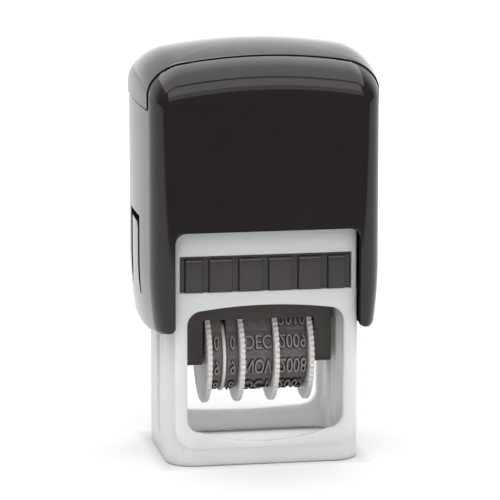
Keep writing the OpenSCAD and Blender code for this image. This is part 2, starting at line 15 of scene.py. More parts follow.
import bmesh
import bpy
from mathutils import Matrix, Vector


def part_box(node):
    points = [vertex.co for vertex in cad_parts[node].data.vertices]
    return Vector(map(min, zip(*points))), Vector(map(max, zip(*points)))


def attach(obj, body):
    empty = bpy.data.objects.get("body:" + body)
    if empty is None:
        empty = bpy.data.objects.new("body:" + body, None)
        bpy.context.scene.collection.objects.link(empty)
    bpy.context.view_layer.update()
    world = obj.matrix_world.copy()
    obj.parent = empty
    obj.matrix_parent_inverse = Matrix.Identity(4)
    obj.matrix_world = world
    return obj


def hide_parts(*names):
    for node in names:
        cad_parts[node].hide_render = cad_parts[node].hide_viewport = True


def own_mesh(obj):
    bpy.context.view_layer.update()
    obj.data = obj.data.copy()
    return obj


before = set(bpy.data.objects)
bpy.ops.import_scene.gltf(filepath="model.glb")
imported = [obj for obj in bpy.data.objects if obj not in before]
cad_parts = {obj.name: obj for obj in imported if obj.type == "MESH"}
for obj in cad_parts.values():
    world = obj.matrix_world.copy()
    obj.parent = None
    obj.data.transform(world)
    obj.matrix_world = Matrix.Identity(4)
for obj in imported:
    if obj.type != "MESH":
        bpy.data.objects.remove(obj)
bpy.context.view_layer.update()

MM = 0.001
PLANE_GAP = 1e-5
TINY = 1e-6
FRAME_GAP = 0.002
FLAT_ANGLE = 0.6
MOULD_ANGLE = 35.0
LOG = logging.getLogger("date_stamp")
Point = tuple[float, float, float]
Colour = tuple[float, float, float, float]
Piece = bpy.types.Object


def srgb(red: int, green: int, blue: int) -> Colour:
    """Turns a colour as a screen shows it into the linear colour that a shader takes.

    Args:
        red: Red from 0 to 255.
        green: Green from 0 to 255.
        blue: Blue from 0 to 255.

    Returns:
        The linear colour with full alpha.
    """

    def linear(value: int) -> float:
        """One channel's linear value."""
        share = value / 255
        return share / 12.92 if share <= 0.04045 else ((share + 0.055) / 1.055) ** 2.4

    return linear(red), linear(green), linear(blue), 1.0


def smooth_step(value: float) -> float:
    """Eases a share from 0 to 1, clamped at both ends."""
    share = min(max(value, 0.0), 1.0)
    return share * share * (3 - 2 * share)


def node_box(node: str) -> tuple[Vector, Vector]:
    """The lowest and highest corner of a frame node, in millimetres."""
    low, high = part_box(node)
    return low / MM, high / MM


class Value:
    """One shader socket, so that shader maths reads as Python."""

    def __init__(self, nodes: "Nodes", socket: bpy.types.NodeSocket) -> None:
        """Wraps a socket of a node tree."""
        self.nodes = nodes
        self.socket = socket

    def _math(self, operation: str, first: object, second: object) -> "Value":
        """Adds a Math node on two values."""
        return self.nodes.add("ShaderNodeMath", {"operation": operation}, {0: first, 1: second})

    def __add__(self, other: object) -> "Value":
        """This value plus another."""
        return self._math("ADD", self, other)

    __radd__ = __add__

    def __sub__(self, other: object) -> "Value":
        """This value less another."""
        return self._math("SUBTRACT", self, other)

    def __rsub__(self, other: object) -> "Value":
        """Another value less this one."""
        return self._math("SUBTRACT", other, self)

    def __mul__(self, other: object) -> "Value":
        """This value times another."""
        return self._math("MULTIPLY", self, other)

    __rmul__ = __mul__

    def at_least(self, other: object) -> "Value":
        """The larger of this value and another."""
        return self._math("MAXIMUM", self, other)


class Pattern(NamedTuple):
    """A noise over a surface: cells per metre, octaves, factors on the axes, and the range of a mask."""

    scale: float
    detail: float = 2.0
    factors: Point = (1, 1, 1)
    low: float = 0.0
    high: float = 1.0


CLOUDS = Pattern(45, 3, low=0.35, high=0.7)
SCUFFS = Pattern(420, 4, (1, 1, 0.12), 0.52, 0.74)
DUST = Pattern(2400, 1, low=0.66, high=0.8)
DRIED_INK = Pattern(900, 3, low=0.3, high=0.75)
RUBBER_GRAIN = Pattern(5200, 3)
DRAWN_LINES = Pattern(2600, 2, (0.05, 1, 1))
WET_PATCHES = Pattern(160, 3, low=0.4, high=0.65)
FIBRES = Pattern(2600, 5, (1, 0.25, 1))


class Nodes:
    """A node tree with one way to add a node."""

    def __init__(self, tree: bpy.types.NodeTree) -> None:
        """Starts with an empty tree."""
        self.tree = tree
        tree.nodes.clear()

    def add(
        self,
        kind: str,
        settings: dict[str, object] | None = None,
        inputs: dict[str | int, object] | None = None,
        output: str | int = 0,
    ) -> Value | None:
        """Adds a node, sets it up and links it.

        Args:
            kind: The node's type.
            settings: Its settings, which are set before its sockets.
            inputs: Numbers, colours or values by socket name or number.
            output: The output to give back.

        Returns:
            The chosen output, or None for a node without outputs.
        """
        node = self.tree.nodes.new(kind)
        for key, setting in (settings or {}).items():
            setattr(node, key, setting)
        for key, value in (inputs or {}).items():
            if isinstance(value, Value):
                self.tree.links.new(value.socket, node.inputs[key])
            else:
                node.inputs[key].default_value = value
        return Value(self, node.outputs[output]) if node.outputs else None

    def place(self) -> Value:
        """The point on the surface, in metres, which goes with the piece."""
        return self.add("ShaderNodeTexCoord", output="Object")

    def ray(self, kind: str) -> Value:
        """Whether a ray is of a kind, such as Camera or Glossy."""
        return self.add("ShaderNodeLightPath", output=f"Is {kind} Ray")

    def axis(self, vector: Value, name: str) -> Value:
        """One axis of a vector."""
        return self.add("ShaderNodeSeparateXYZ", None, {"Vector": vector}, name)

    def noise(self, pattern: Pattern) -> Value:
        """A noise over the surface.

        Args:
            pattern: Its pattern.

        Returns:
            The noise, around 0.5.
        """
        where = self.add("ShaderNodeMapping", None, {"Vector": self.place(), "Scale": pattern.factors})
        inputs = {"Vector": where, "Scale": pattern.scale, "Detail": pattern.detail}
        return self.add("ShaderNodeTexNoise", None, inputs)

    def mask(self, pattern: Pattern) -> Value:
        """A noise stretched over its pattern's range, from 0 to 1."""
        return self.ramp(self.noise(pattern), pattern.low, pattern.high)

    def ramp(self, value: Value, low: float, high: float) -> Value:
        """Stretches a value so that low becomes 0 and high becomes 1, clamped."""
        settings = {"interpolation_type": "SMOOTHSTEP"}
        return self.add("ShaderNodeMapRange", settings, {"Value": value, "From Min": low, "From Max": high})

    def mix(self, share: object, first: object, second: object) -> Value:
        """A colour between two colours."""
        return self.add("ShaderNodeMix", {"data_type": "RGBA"}, {0: share, 6: first, 7: second}, 2)

    def bump(self, height: Value, strength: float, depth: float) -> Value:
        """A normal from a height of 0 to 1, its strength and its depth in millimetres."""
        inputs = {"Height": height, "Strength": strength, "Distance": depth * MM}
        return self.add("ShaderNodeBump", None, inputs)


def new_material(name: str) -> tuple[bpy.types.Material, Nodes]:
    """Makes a material with an empty node tree.

    Args:
        name: Its name.

    Returns:
        The material and its nodes.
    """
    made = bpy.data.materials.new(name)
    made.use_nodes = True
    return made, Nodes(made.node_tree)


@dataclass(frozen=True)
class Finish(ABC):
    """A finish of the stamp, as one material of two colours, a gloss and a grain."""

    name: str
    colour: Colour
    second: Colour
    roughness: float
    grain_shown: float = 0.35
    grain_depth: float = 0.004

    def material(self) -> bpy.types.Material:
        """The finish's material, made on its first use.

        Returns:
            The material.
        """
        name = f"finish_{self.name}"
        made = bpy.data.materials.get(name)
        if made is None:
            made, nodes = new_material(name)
            share, gloss, grain = self.layers(nodes)
            inputs = {
                "Base Color": nodes.mix(share, self.colour, self.second),
                "Roughness": self.roughness + gloss,
                "Normal": nodes.bump(grain, self.grain_shown, self.grain_depth),
                **self.constants(),
            }
            shader = nodes.add("ShaderNodeBsdfPrincipled", None, inputs)
            nodes.add("ShaderNodeOutputMaterial", None, {"Surface": shader})
        return made

    @abstractmethod
    def layers(self, nodes: Nodes) -> tuple[Value, Value, Value]:
        """The share of the second colour, what is added to the roughness, and the grain's height."""

    def constants(self) -> dict[str, object]:
        """The shader's inputs that are the same all over the surface."""
        return {}


@dataclass(frozen=True)
class Moulding(Finish):
    """Moulded plastic: a fine skin texture, faint blotches and rubbed patches."""

    blotch: float = 0.3
    rub: float = 0.1
    cloud_rub: float = 0.4
    dust_rub: float = 0.5
    grain: float = 3000.0
    specular: float = 0.5
    carry: float = 0.0
    carry_reach: float = 6.0

    def layers(self, nodes: Nodes) -> tuple[Value, Value, Value]:
        """Blotches, wear and grain of the moulding.

        Args:
            nodes: The material's node tree.

        Returns:
            The share of the second colour, what is added to the roughness, and the grain's height.
        """
        clouds, scuffs, dust = nodes.mask(CLOUDS), nodes.mask(SCUFFS), nodes.mask(DUST)
        worn = scuffs * self.rub + clouds * (self.rub * self.cloud_rub) + dust * (self.rub * self.dust_rub)
        return clouds * self.blotch, worn, nodes.noise(Pattern(self.grain))

    def constants(self) -> dict[str, object]:
        """The moulding's shine, and how far it carries light."""
        return {
            "Specular IOR Level": self.specular,
            "Subsurface Weight": self.carry,
            "Subsurface Radius": (1, 1, 1),
            "Subsurface Scale": self.carry_reach * MM,
        }


@dataclass(frozen=True)
class TypeRubber(Finish):
    """Moulded rubber with a fine grain, toned where ink has dried on it."""

    grain_shown: float = 0.4
    grain_depth: float = 0.02
    ink_rough: float = 0.08

    def layers(self, nodes: Nodes) -> tuple[Value, Value, Value]:
        """Dried ink, its dullness and the rubber's grain."""
        ink = nodes.mask(DRIED_INK)
        return ink, ink * self.ink_rough, nodes.noise(RUBBER_GRAIN)


@dataclass(frozen=True)
class Steel(Finish):
    """Drawn steel wire and ground pins, with fine lines along X."""

    grain_shown: float = 0.25
    grain_depth: float = 0.006
    line_share: float = 0.35
    line_rough: float = 0.15

    def layers(self, nodes: Nodes) -> tuple[Value, Value, Value]:
        """The lines' colour, dullness and height."""
        lines = nodes.noise(DRAWN_LINES)
        return lines * self.line_share, lines * self.line_rough, lines

    def constants(self) -> dict[str, object]:
        """Bare metal."""
        return {"Metallic": 1.0}


@dataclass(frozen=True)
class InkFelt(Finish):
    """Felt soaked with ink, darker and shinier where it is wet."""

    grain_shown: float = 0.8
    grain_depth: float = 0.08
    wet_rough: float = -0.3

    def layers(self, nodes: Nodes) -> tuple[Value, Value, Value]:
        """Wet patches, their shine and the felt's fibres."""
        soaked = nodes.mask(WET_PATCHES)
        return soaked, soaked * self.wet_rough, nodes.noise(FIBRES)


class Finishes(Enum):
    """The stamp's finishes."""

    CAP = Moulding(
        "cap_gloss", srgb(37, 34, 33), srgb(41, 37, 35), 0.07, rub=0.05, grain=900.0, grain_depth=0.0015,
        specular=0.42,
    )
    CAP_INSIDE = Moulding("cap_inside", srgb(40, 37, 36), srgb(33, 31, 30), 0.75, specular=0.0)
    BASE = Moulding(
        "base_white", srgb(231, 235, 234), srgb(221, 225, 222), 0.34, blotch=0.5, rub=0.12,
        grain_depth=0.006, specular=0.45, carry=0.9,
    )
    CARRIAGE = Moulding("carriage_satin", srgb(66, 59, 55), srgb(54, 49, 46), 0.36, blotch=0.5, rub=0.14)
    GRIP = Moulding("grip_satin", srgb(56, 51, 50), srgb(48, 44, 43), 0.22, blotch=0.5, specular=0.7)
    WHEEL = Moulding(
        "wheel_pale", srgb(243, 240, 236), srgb(230, 226, 220), 0.4, blotch=0.7, rub=0.12, carry=0.25,
    )
    BAND = TypeRubber("band", srgb(116, 110, 111), srgb(100, 95, 96), 0.58)
    TYPE = TypeRubber("type", srgb(158, 153, 154), srgb(134, 130, 131), 0.48)
    # Dark flanks of the raised type: partly dried ink, partly painted shade beside the letters.
    FLANK_INK_AND_SHADE = TypeRubber("flank", srgb(38, 35, 35), srgb(28, 26, 26), 0.6)
    PLATE = TypeRubber("plate", srgb(120, 52, 44), srgb(96, 40, 36), 0.6)
    STEEL = Steel("steel", (0.62, 0.61, 0.6, 1.0), (0.32, 0.31, 0.3, 1.0), 0.24)
    FELT = InkFelt("felt", srgb(52, 46, 92), (0.005, 0.005, 0.02, 1.0), 0.85)


def add_object(name: str, data: bpy.types.ID) -> Piece:
    """Adds an object to the scene.

    Args:
        name: Its name.
        data: Its mesh, curve, light or camera.

    Returns:
        The new object.
    """
    made = bpy.data.objects.new(name, data)
    bpy.context.scene.collection.objects.link(made)
    return made


def shown_mesh(piece: Piece) -> bpy.types.Mesh:
    """What an object shows, as a mesh of its own.

    Args:
        piece: The object, with its modifiers.

    Returns:
        The new mesh.
    """
    bpy.context.view_layer.update()
    shaped = piece.evaluated_get(bpy.context.evaluated_depsgraph_get())
    return bpy.data.meshes.new_from_object(shaped)


class Solid:
    """A mesh under construction, in millimetres."""

    def __init__(self) -> None:
        """Starts empty."""
        self.bm = bmesh.new()

    def face(self, points: Iterable[Point]) -> None:
        """Adds one face on new corners; corners are joined when the mesh is made."""
        self.bm.faces.new([self.bm.verts.new(point) for point in points])

    def grid(
        self,
        rows: Sequence[Sequence[Point]],
        around: bool = False,
        skip: Callable[[int, int], bool] | None = None,
    ) -> None:
        """Adds quads between neighbouring rows of points.

        Args:
            rows: Rows of equal length.
            around: Whether each row is a closed loop.
            skip: Tells by row and column which quads to leave out.
        """
        verts = [[self.bm.verts.new(point) for point in row] for row in rows]
        count = len(rows[0])
        for i in range(len(rows) - 1):
            for j in range(count if around else count - 1):
                if skip is None or not skip(i, j):
                    k = (j + 1) % count
                    self.bm.faces.new([verts[i][j], verts[i][k], verts[i + 1][k], verts[i + 1][j]])

    def fan(self, ring: Sequence[Point]) -> None:
        """Closes a ring with triangles to its middle.

        Args:
            ring: The ring's points in order.
        """
        middle = tuple(sum(point[i] for point in ring) / len(ring) for i in range(3))
        for first, second in zip(ring, [*ring[1:], ring[0]]):
            self.face([first, second, middle])

    def join(self, gap: float = 0.0005) -> "Solid":
        """Joins corners that meet and drops faces that have no area.

        Args:
            gap: How far apart corners may be that meet.

        Returns:
            This solid.
        """
        bmesh.ops.remove_doubles(self.bm, verts=self.bm.verts, dist=gap)
        bmesh.ops.dissolve_degenerate(self.bm, edges=self.bm.edges, dist=gap)
        return self

    def cut(self, point: Point, normal: Point) -> "Solid":
        """Cuts all faces along a plane.

        Args:
            point: A point of the plane.
            normal: The plane's direction.

        Returns:
            This solid.
        """
        geometry = [*self.bm.verts, *self.bm.edges, *self.bm.faces]
        bmesh.ops.bisect_plane(self.bm, geom=geometry, plane_co=point, plane_no=normal, dist=PLANE_GAP)
        return self

    def drop(self, test: Callable[[Vector], bool]) -> "Solid":
        """Deletes faces.

        Args:
            test: Tells by a face's middle whether it goes.

        Returns:
            This solid.
        """
        doomed = [face for face in self.bm.faces if test(face.calc_center_median())]
        bmesh.ops.delete(self.bm, geom=doomed, context="FACES")
        return self

    def face_out(self, middle: Point) -> "Solid":
        """Turns the faces of a skin outwards.

        Args:
            middle: The point that they turn away from.

        Returns:
            This solid.
        """
        bmesh.ops.recalc_face_normals(self.bm, faces=self.bm.faces)
        centre = Vector(middle)
        lean = sum(f.normal.dot(f.calc_center_median() - centre) * f.calc_area() for f in self.bm.faces)
        if lean < 0:
            bmesh.ops.reverse_faces(self.bm, faces=self.bm.faces)
        return self

    def piece(self, name: str) -> Piece:
        """Makes the mesh into a scene object in metres.

        Args:
            name: The piece's name.

        Returns:
            The new object.
        """
        bmesh.ops.scale(self.bm, vec=(MM, MM, MM), verts=self.bm.verts)
        mesh = bpy.data.meshes.new(name)
        self.bm.to_mesh(mesh)
        self.bm.free()
        return add_object(name, mesh)


def settle(piece: Piece) -> Piece:
    """Applies a piece's modifiers to its mesh.

    Args:
        piece: The piece.

    Returns:
        The same piece.
    """
    mesh = shown_mesh(piece)
    piece.modifiers.clear()
    piece.data = mesh
    return piece


def thicken(piece: Piece, wall: float) -> Piece:
    """Gives an open skin a wall towards its inside.

    Args:
        piece: The skin.
        wall: The wall's thickness.

    Returns:
        The same piece.
    """
    shell = piece.modifiers.new("wall", "SOLIDIFY")
    shell.thickness = wall * MM
    shell.offset = -1
    shell.use_even_offset = True
    shell.use_quality_normals = True
    return settle(piece)


def round_edges(
    piece: Piece,
    width: float,
    segments: int = 3,
    angle: float = 50.0,
    keep: Callable[[Vector], bool] | None = None,
) -> Piece:
    """Rounds a piece's sharp edges.

    Args:
        piece: The piece.
        width: How far the rounding reaches.
        segments: Facets of the rounding.
        angle: Edges sharper than this many degrees are rounded.
        keep: Tells by an edge's middle, in millimetres, which edges stay sharp.

    Returns:
        The same piece.
    """
    bevel = piece.modifiers.new("edges", "BEVEL")
    bevel.width = width * MM
    bevel.segments = segments
    bevel.limit_method = "WEIGHT"
    mesh = bmesh.new()
    mesh.from_mesh(piece.data)
    weights = []
    for edge in mesh.edges:
        middle = (edge.verts[0].co + edge.verts[1].co) / (2 * MM)
        sharp = edge.calc_face_angle(0.0) > math.radians(angle)
        weights.append(float(sharp and not (keep and keep(middle))))
    mesh.free()
    layer = piece.data.attributes.new("bevel_weight_edge", "FLOAT", "EDGE")
    layer.data.foreach_set("value", weights)
    return settle(piece)


def smooth(piece: Piece, angle: float = 38.0) -> Piece:
    """Shades a piece smoothly.

    Args:
        piece: The piece.
        angle: Edges sharper than this many degrees stay sharp.

    Returns:
        The same piece.
    """
    piece.data.shade_smooth()
    piece.data.set_sharp_from_angle(angle=math.radians(angle))
    even = piece.modifiers.new("even", "WEIGHTED_NORMAL")
    even.keep_sharp = True
    return piece


def seat(piece: Piece, body: str, finish: Finishes, nodes: Sequence[str] = ()) -> Piece:
    """Dresses a piece, lets it ride on a body and hides the frame's nodes that it replaces.

    Args:
        piece: The piece.
        body: The body that it moves with.
        finish: Its finish.
        nodes: The frame's nodes that it replaces.

    Returns:
        The same piece.
    """
    piece.data.materials.clear()
    piece.data.materials.append(finish.value.material())
    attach(piece, body)
    if nodes:
        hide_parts(*nodes)
    LOG.info("%s rides on %s with %d faces", piece.name, body, len(piece.data.polygons))
    return piece


def moulded(
    node: str,
    name: str,
    edge: float,
    segments: int = 3,
    front: float | None = None,
    lift: Callable[[Vector], float] | None = None,
) -> Piece:
    """A copy of a frame node's solid with rounded edges and smooth rounds.

    Args:
        node: The frame's node.
        name: The new piece's name.
        edge: Reach of the rounded edges.
        segments: Facets of a rounded edge.
        front: Y of a plane; what lies in front of it is left to another piece.
        lift: How far a point of the solid moves up.

    Returns:
        The new piece.
    """
    solid = Solid()
    solid.bm.from_mesh(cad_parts[node].data)
    bmesh.ops.scale(solid.bm, vec=(1 / MM, 1 / MM, 1 / MM), verts=solid.bm.verts)
    solid.join(FRAME_GAP)
    bmesh.ops.dissolve_limit(
        solid.bm, angle_limit=math.radians(FLAT_ANGLE), verts=solid.bm.verts, edges=solid.bm.edges
    )
    for vert in solid.bm.verts if lift else ():
        vert.co.z += lift(vert.co)
    if front is not None:
        solid.cut((0, front, 0), (0, 1, 0)).drop(lambda point: point.y < front)
    return smooth(round_edges(solid.piece(name), edge, segments, MOULD_ANGLE))


class Station(NamedTuple):
    """A place around a rounded rectangle: a point of its core and a direction in degrees."""

    core_x: float
    core_y: float
    turn: float

    def mirrored(self, flip_x: bool, flip_y: bool) -> "Station":
        """The station on the other side in X, in Y or in both."""
        turn = 180 - self.turn if flip_x else self.turn
        return Station(
            -self.core_x if flip_x else self.core_x,
            -self.core_y if flip_y else self.core_y,
            -turn if flip_y else turn,
        )


@dataclass
class CapForm:
    """The cap's outside, as a surface around its plan and over its crown."""

    half_x: float
    half_y: float
    low: float
    top: float
    corner_r: float = 7.0
    side_bow: float = 1.45
    bow_mid: float = 1.5
    edge_run: float = 9.0
    edge_drop: float = 6.5
    arch_r: float = 140.0
    dome_r: float = 55.0
    leg_inset: float = 2.1
    leg_taper: float = 20.5
    leg_rise: float = 3.5
    leg_mid: float = 7.0
    leg_r: float = 1.6
    foot_in: float = 1.1
    foot_h: float = 1.6
    corner_left: float = 0.6
    inner: float = 25.0

    def core(self) -> tuple[float, float]:
        """Half sizes of the plan's straight sides."""
        return self.half_x - self.corner_r, self.half_y - self.corner_r

    def plan(self, station: Station, inset: float) -> tuple[float, float]:
        """A point of the plan, whose sides bow out a little.

        Args:
            station: The point's place around the plan.
            inset: How far the plan is drawn in.

        Returns:
            Its X and Y.
        """
        radius = self.corner_r - self.corner_left * inset
        turn = math.radians(station.turn)
        x = station.core_x * (self.half_x - inset - radius) + radius * math.cos(turn)
        y = station.core_y * (self.half_y - inset - radius) + radius * math.sin(turn)
        bow = self.side_bow * ((y - self.bow_mid) / (self.half_y + self.bow_mid)) ** 2 * math.cos(turn) ** 2
        return x - math.copysign(bow, x), y

    def leg_end(self, x: float, y: float) -> float:
        """Where the legs end, higher to the front and rounded off at their inner edges.

        Args:
            x: X of a point of the plan.
            y: Its Y.

        Returns:
            The end's height.
        """
        end = self.low + self.leg_rise * ((y - self.leg_mid) / (self.half_y + self.leg_mid)) ** 2
        short = max(self.leg_r - abs(abs(x) - self.inner), 0)
        return end + self.leg_r - math.sqrt(self.leg_r**2 - short**2)

    def leg_offset(self, x: float, y: float, z: float) -> float:
        """How far the legs draw in, growing from their inner edge to their outside.

        Args:
            x: X of a point of the wall.
            y: Its Y.
            z: Its height.

        Returns:
            The way to the middle in X.
        """
        drawn = self.leg_inset * max(1 - (z - self.low) / self.leg_taper, 0) ** 2
        drawn += self.foot_in * max(1 - (z - self.leg_end(x, y)) / self.foot_h, 0) ** 2
        share = min(max((abs(x) - self.inner) / (self.half_x - self.inner), 0), 1)
        return math.copysign(drawn * share, x)

    def sag(self, x: float, y: float) -> float:
        """How far the crown lies under its highest point."""
        return x * x / (2 * self.arch_r) + y * y / (2 * self.dome_r)

    def wall(self, station: Station, z: float, inset: float = 0.0) -> Point:
        """A point on the upright wall."""
        x, y = self.plan(station, inset)
        return x - self.leg_offset(x, y, z), y, z

    def foot(self, station: Station, share: float, top: float, inset: float = 0.0) -> Point:
        """A point on a leg, from its lower end at share 0 to a height at share 1."""
        end = self.leg_end(*self.plan(station, inset))
        return self.wall(station, end + (top - end) * share, inset)

    def edge(self, station: Station, share: float, inset: float = 0.0) -> Point:
        """A point on the rounded edge.

        Args:
            station: The point's place around the plan.
            share: 0 at the wall and 1 at the crown.
            inset: How far the surface is drawn in.

        Returns:
            The point.
        """
        turn = share * math.pi / 2
        x, y = self.plan(station, inset + self.edge_run * (1 - math.cos(turn)))
        return x, y, self.top - inset - self.sag(x, y) - self.edge_drop * (1 - math.sin(turn))

    def crown(self, station: Station, share: float, inset: float = 0.0) -> Point:
        """A point on the crown.

        Args:
            station: The point's place around the plan.
            share: 1 at the crown's edge and 0 at its middle.
            inset: How far the surface is drawn in.

        Returns:
            The point.
        """
        x, y = self.plan(station, inset + self.edge_run)
        x, y = x * share, y * share
        return x, y, self.top - inset - self.sag(x, y)


@dataclass
class Cap:
    """The glossy cap: shell, top cover, roof under the cover, and lock tabs."""

    form: CapForm
    proud: float = 0.3
    wall: float = 2.2
    edge: float = 0.3
    cut_top: float = 63.9
    cut_r: float = 3.0
    cut_cells: int = 4
    cover_y: float = -16.0
    cover_z: float = 96.0
    cover_wall: float = 1.7
    cover_edge: float = 0.45
    cover_facets: int = 4
    roof_wall: float = 0.9
    roof_skirt: float = 4.0
    seam: float = 0.24
    side_seam: float = 0.5
    tab_y: tuple[float, float] = (-3.0, 12.0)
    tab_z: tuple[float, float] = (44.3, 63.5)
    tab_gap_top: float = 65.5
    tab_slit: tuple[float, float] = (1.6, 0.9)
    tab_in: float = 0.4
    tab_thin: float = 0.2
    tab_proud: float = 0.18
    tab_ease: float = 4.0
    tab_r: float = 2.2
    tab_cells: int = 8
    root_gap: float = 0.06
    root_near: tuple[float, float] = (0.1, 0.2)
    inward: float = 0.3
    downward: float = 0.5
    front_marks: tuple[float, ...] = (0, 6, 12, 18)
    side_marks: tuple[float, ...] = (8, 0)
    corner_step: int = 6
    foot_shares: tuple[float, ...] = (0, 0.02, 0.05, 0.09, 0.14, 0.25, 0.4, 0.6, 0.8)
    leg_marks: tuple[float, ...] = (47, 50, 53, 56, 58.5)
    wall_marks: tuple[float, ...] = (72, 78, 84, 90)
    brim_cells: int = 3
    edge_cells: int = 14
    crown_cells: int = 12
    shell_middle: Point = (0, 0, 70)
    crown_middle: Point = (0, 0, 80)
    tab_middle: Point = (0, 4, 55)
    quarter: list[Station] = field(default_factory=list)

    @classmethod
    def from_frame(cls) -> "Cap":
        """Takes the cap's outer sizes from the frame.

        Returns:
            The cap.
        """
        low, high = node_box("cap_shell")
        top = node_box("top_cover")[1].z
        made = cls(CapForm(high.x, high.y, low.z, top))
        made.quarter = made.make_quarter()
        return made

    def make_quarter(self) -> list[Station]:
        """Places the stations of one quarter of the plan.

        Returns:
            Stations from the middle of the front to the middle of the right side.
        """
        core_x, core_y = self.form.core()
        cells, step = self.cut_cells, self.corner_step
        cut_xs = [self.form.inner - self.cut_r * i / cells for i in range(cells, -1, -1)]
        front = [x / core_x for x in (*self.front_marks, *[x for x in cut_xs if x < core_x], core_x)]
        cut_turns = [
            math.degrees(math.asin((x - core_x) / self.form.corner_r)) for x in cut_xs if x > core_x
        ]
        turns = [*cut_turns, *range(math.ceil(cut_turns[-1] / step + 0.5) * step, 90, step)]
        marks = sorted({abs(y) for y in (*self.opening(), *self.side_marks)}, reverse=True)
        return [
            *[Station(u, -1, -90) for u in front],
            *[Station(1, -1, turn - 90) for turn in turns],
            Station(1, -1, 0),
            *[Station(1, -mark / core_y, 0) for mark in marks],
        ]

    def opening(self) -> tuple[float, float]:
        """Front and back of a lock tab's opening."""
        front, back = self.tab_y
        return front + self.tab_in - self.tab_slit[0], back - self.tab_in + self.tab_slit[1]

    def loop(self) -> list[Station]:
        """Places the stations all around the plan.

        Returns:
            Stations from the middle of the front to the right and round.
        """
        quarter = self.quarter
        back = [s.mirrored(False, True) for s in reversed(quarter)]
        left = [s.mirrored(True, True) for s in quarter]
        home = [s.mirrored(True, False) for s in reversed(quarter)]
        return [*quarter, *back[1:], *left[1:], *home[1:-1]]

    def leg_span(self) -> tuple[int, int]:
        """Finds the right leg in the loop.

        Returns:
            The places where it starts and ends.
        """
        core_x = self.form.core()[0]
        edge = math.degrees(math.asin((self.form.inner - core_x) / self.form.corner_r)) - 90
        start = next(i for i, s in enumerate(self.quarter) if abs(s.turn - edge) < TINY)
        return start, 2 * (len(self.quarter) - 1) - start

    def tab_test(self, rows: Sequence[Sequence[Point]]) -> Callable[[int, int], bool]:
        """Makes a test for the quads of a grid that lie in a lock tab's opening.

        Args:
            rows: The grid's rows.

        Returns:
            The test, by row and column.
        """
        front, back = self.opening()

        def test(i: int, j: int) -> bool:
            """Tests one quad.

            Args:
                i: Its row.
                j: Its column.

            Returns:
                Whether it lies in an opening.
            """
            k = (j + 1) % len(rows[0])
            corners = (rows[i][j], rows[i][k], rows[i + 1][j], rows[i + 1][k])
            x, y, z = (sum(axis) / len(corners) for axis in zip(*corners))
            return front < y < back and self.tab_z[0] < z < self.tab_gap_top and abs(x) > self.form.inner

        return test

    def wall_rows(self, zs: Sequence[float], stations: Sequence[Station]) -> list[list[Point]]:
        """Rows of points on the shell's upright wall."""
        return [[self.form.wall(s, z, self.proud) for s in stations] for z in zs]

    def add_crown(self, solid: Solid, low: float, inset: float = 0.0) -> Solid:
        """Adds the surface from the wall over the edge to the middle of the crown.

        Args:
            solid: The mesh that gets it.
            low: The height on the wall where it starts.
            inset: How far it is drawn in.

        Returns:
            The same mesh.
        """
        form, loop = self.form, self.loop()
        brim_n, edge_n, crown_n = self.brim_cells, self.edge_cells, self.crown_cells
        brim = [form.edge(s, 0, inset) for s in loop]
        rows = [[form.wall(s, low, inset) for s in loop]]
        rows += [[(x, y, low + (z - low) * i / brim_n) for x, y, z in brim] for i in range(1, brim_n + 1)]
        rows += [[form.edge(s, i / edge_n, inset) for s in loop] for i in range(1, edge_n + 1)]
        rows += [[form.crown(s, i / crown_n, inset) for s in loop] for i in range(crown_n - 1, 0, -1)]
        solid.grid(rows, True)
        solid.fan(rows[-1])
        return solid

    def corner(self, solid: Solid, side_x: int, side_y: int) -> None:
        """Fills the rounded upper corner of a cut-out.

        Args:
            solid: The shell's mesh.
            side_x: -1 for the left and 1 for the right.
            side_y: -1 for the front and 1 for the back.
        """
        core_x = self.form.core()[0]
        n, r = self.cut_cells, self.cut_r

        def on_wall(x: float, z: float) -> Point:
            """Finds a point of the wall.

            Args:
                x: Its distance from the middle.
                z: Its height.

            Returns:
                The point.
            """
            bend = math.degrees(math.asin(max(x - core_x, 0) / self.form.corner_r))
            station = Station(min(x / core_x, 1), -1, bend - 90)
            return self.form.wall(station.mirrored(side_x < 0, side_y > 0), z, self.proud)

        low_z, low_x = self.cut_top - r, self.form.inner - r
        path = [(self.form.inner, low_z + r * i / n) for i in range(n)]
        path += [(self.form.inner - r * i / n, self.cut_top) for i in range(n + 1)]
        turns = [math.pi / 2 * i / (2 * n) for i in range(2 * n + 1)]
        arc = [(low_x + r * math.cos(a), low_z + r * math.sin(a)) for a in turns]
        solid.grid([[on_wall(*p) for p in path], [on_wall(*p) for p in arc]])

    def skin(self) -> Solid:
        """Builds the whole outside, open at the cut-outs, the tabs and the bottom.

        Returns:
            The open skin.
        """
        solid, loop = Solid(), self.loop()
        start, end = self.leg_span()
        root, low_z, n = self.tab_z[0], self.cut_top - self.cut_r, self.cut_cells
        leg_zs = [root, *self.leg_marks, *[low_z + self.cut_r * i / n for i in range(n + 1)]]
        half = 2 * (len(self.quarter) - 1)
        for first in (start, start + half):
            span = loop[first : first + end - start + 1]
            rows = [[self.form.foot(s, share, root, self.proud) for s in span] for share in self.foot_shares]
            rows += self.wall_rows(leg_zs, span)
            solid.grid(rows, skip=self.tab_test(rows))
        rows = self.wall_rows([self.cut_top, self.tab_gap_top, *self.wall_marks, self.cover_z], loop)
        solid.grid(rows, True, self.tab_test(rows))
        for side_x in (-1, 1):
            for side_y in (-1, 1):
                self.corner(solid, side_x, side_y)
        self.add_crown(solid, self.cover_z, self.proud)
        return solid.join().face_out(self.shell_middle)

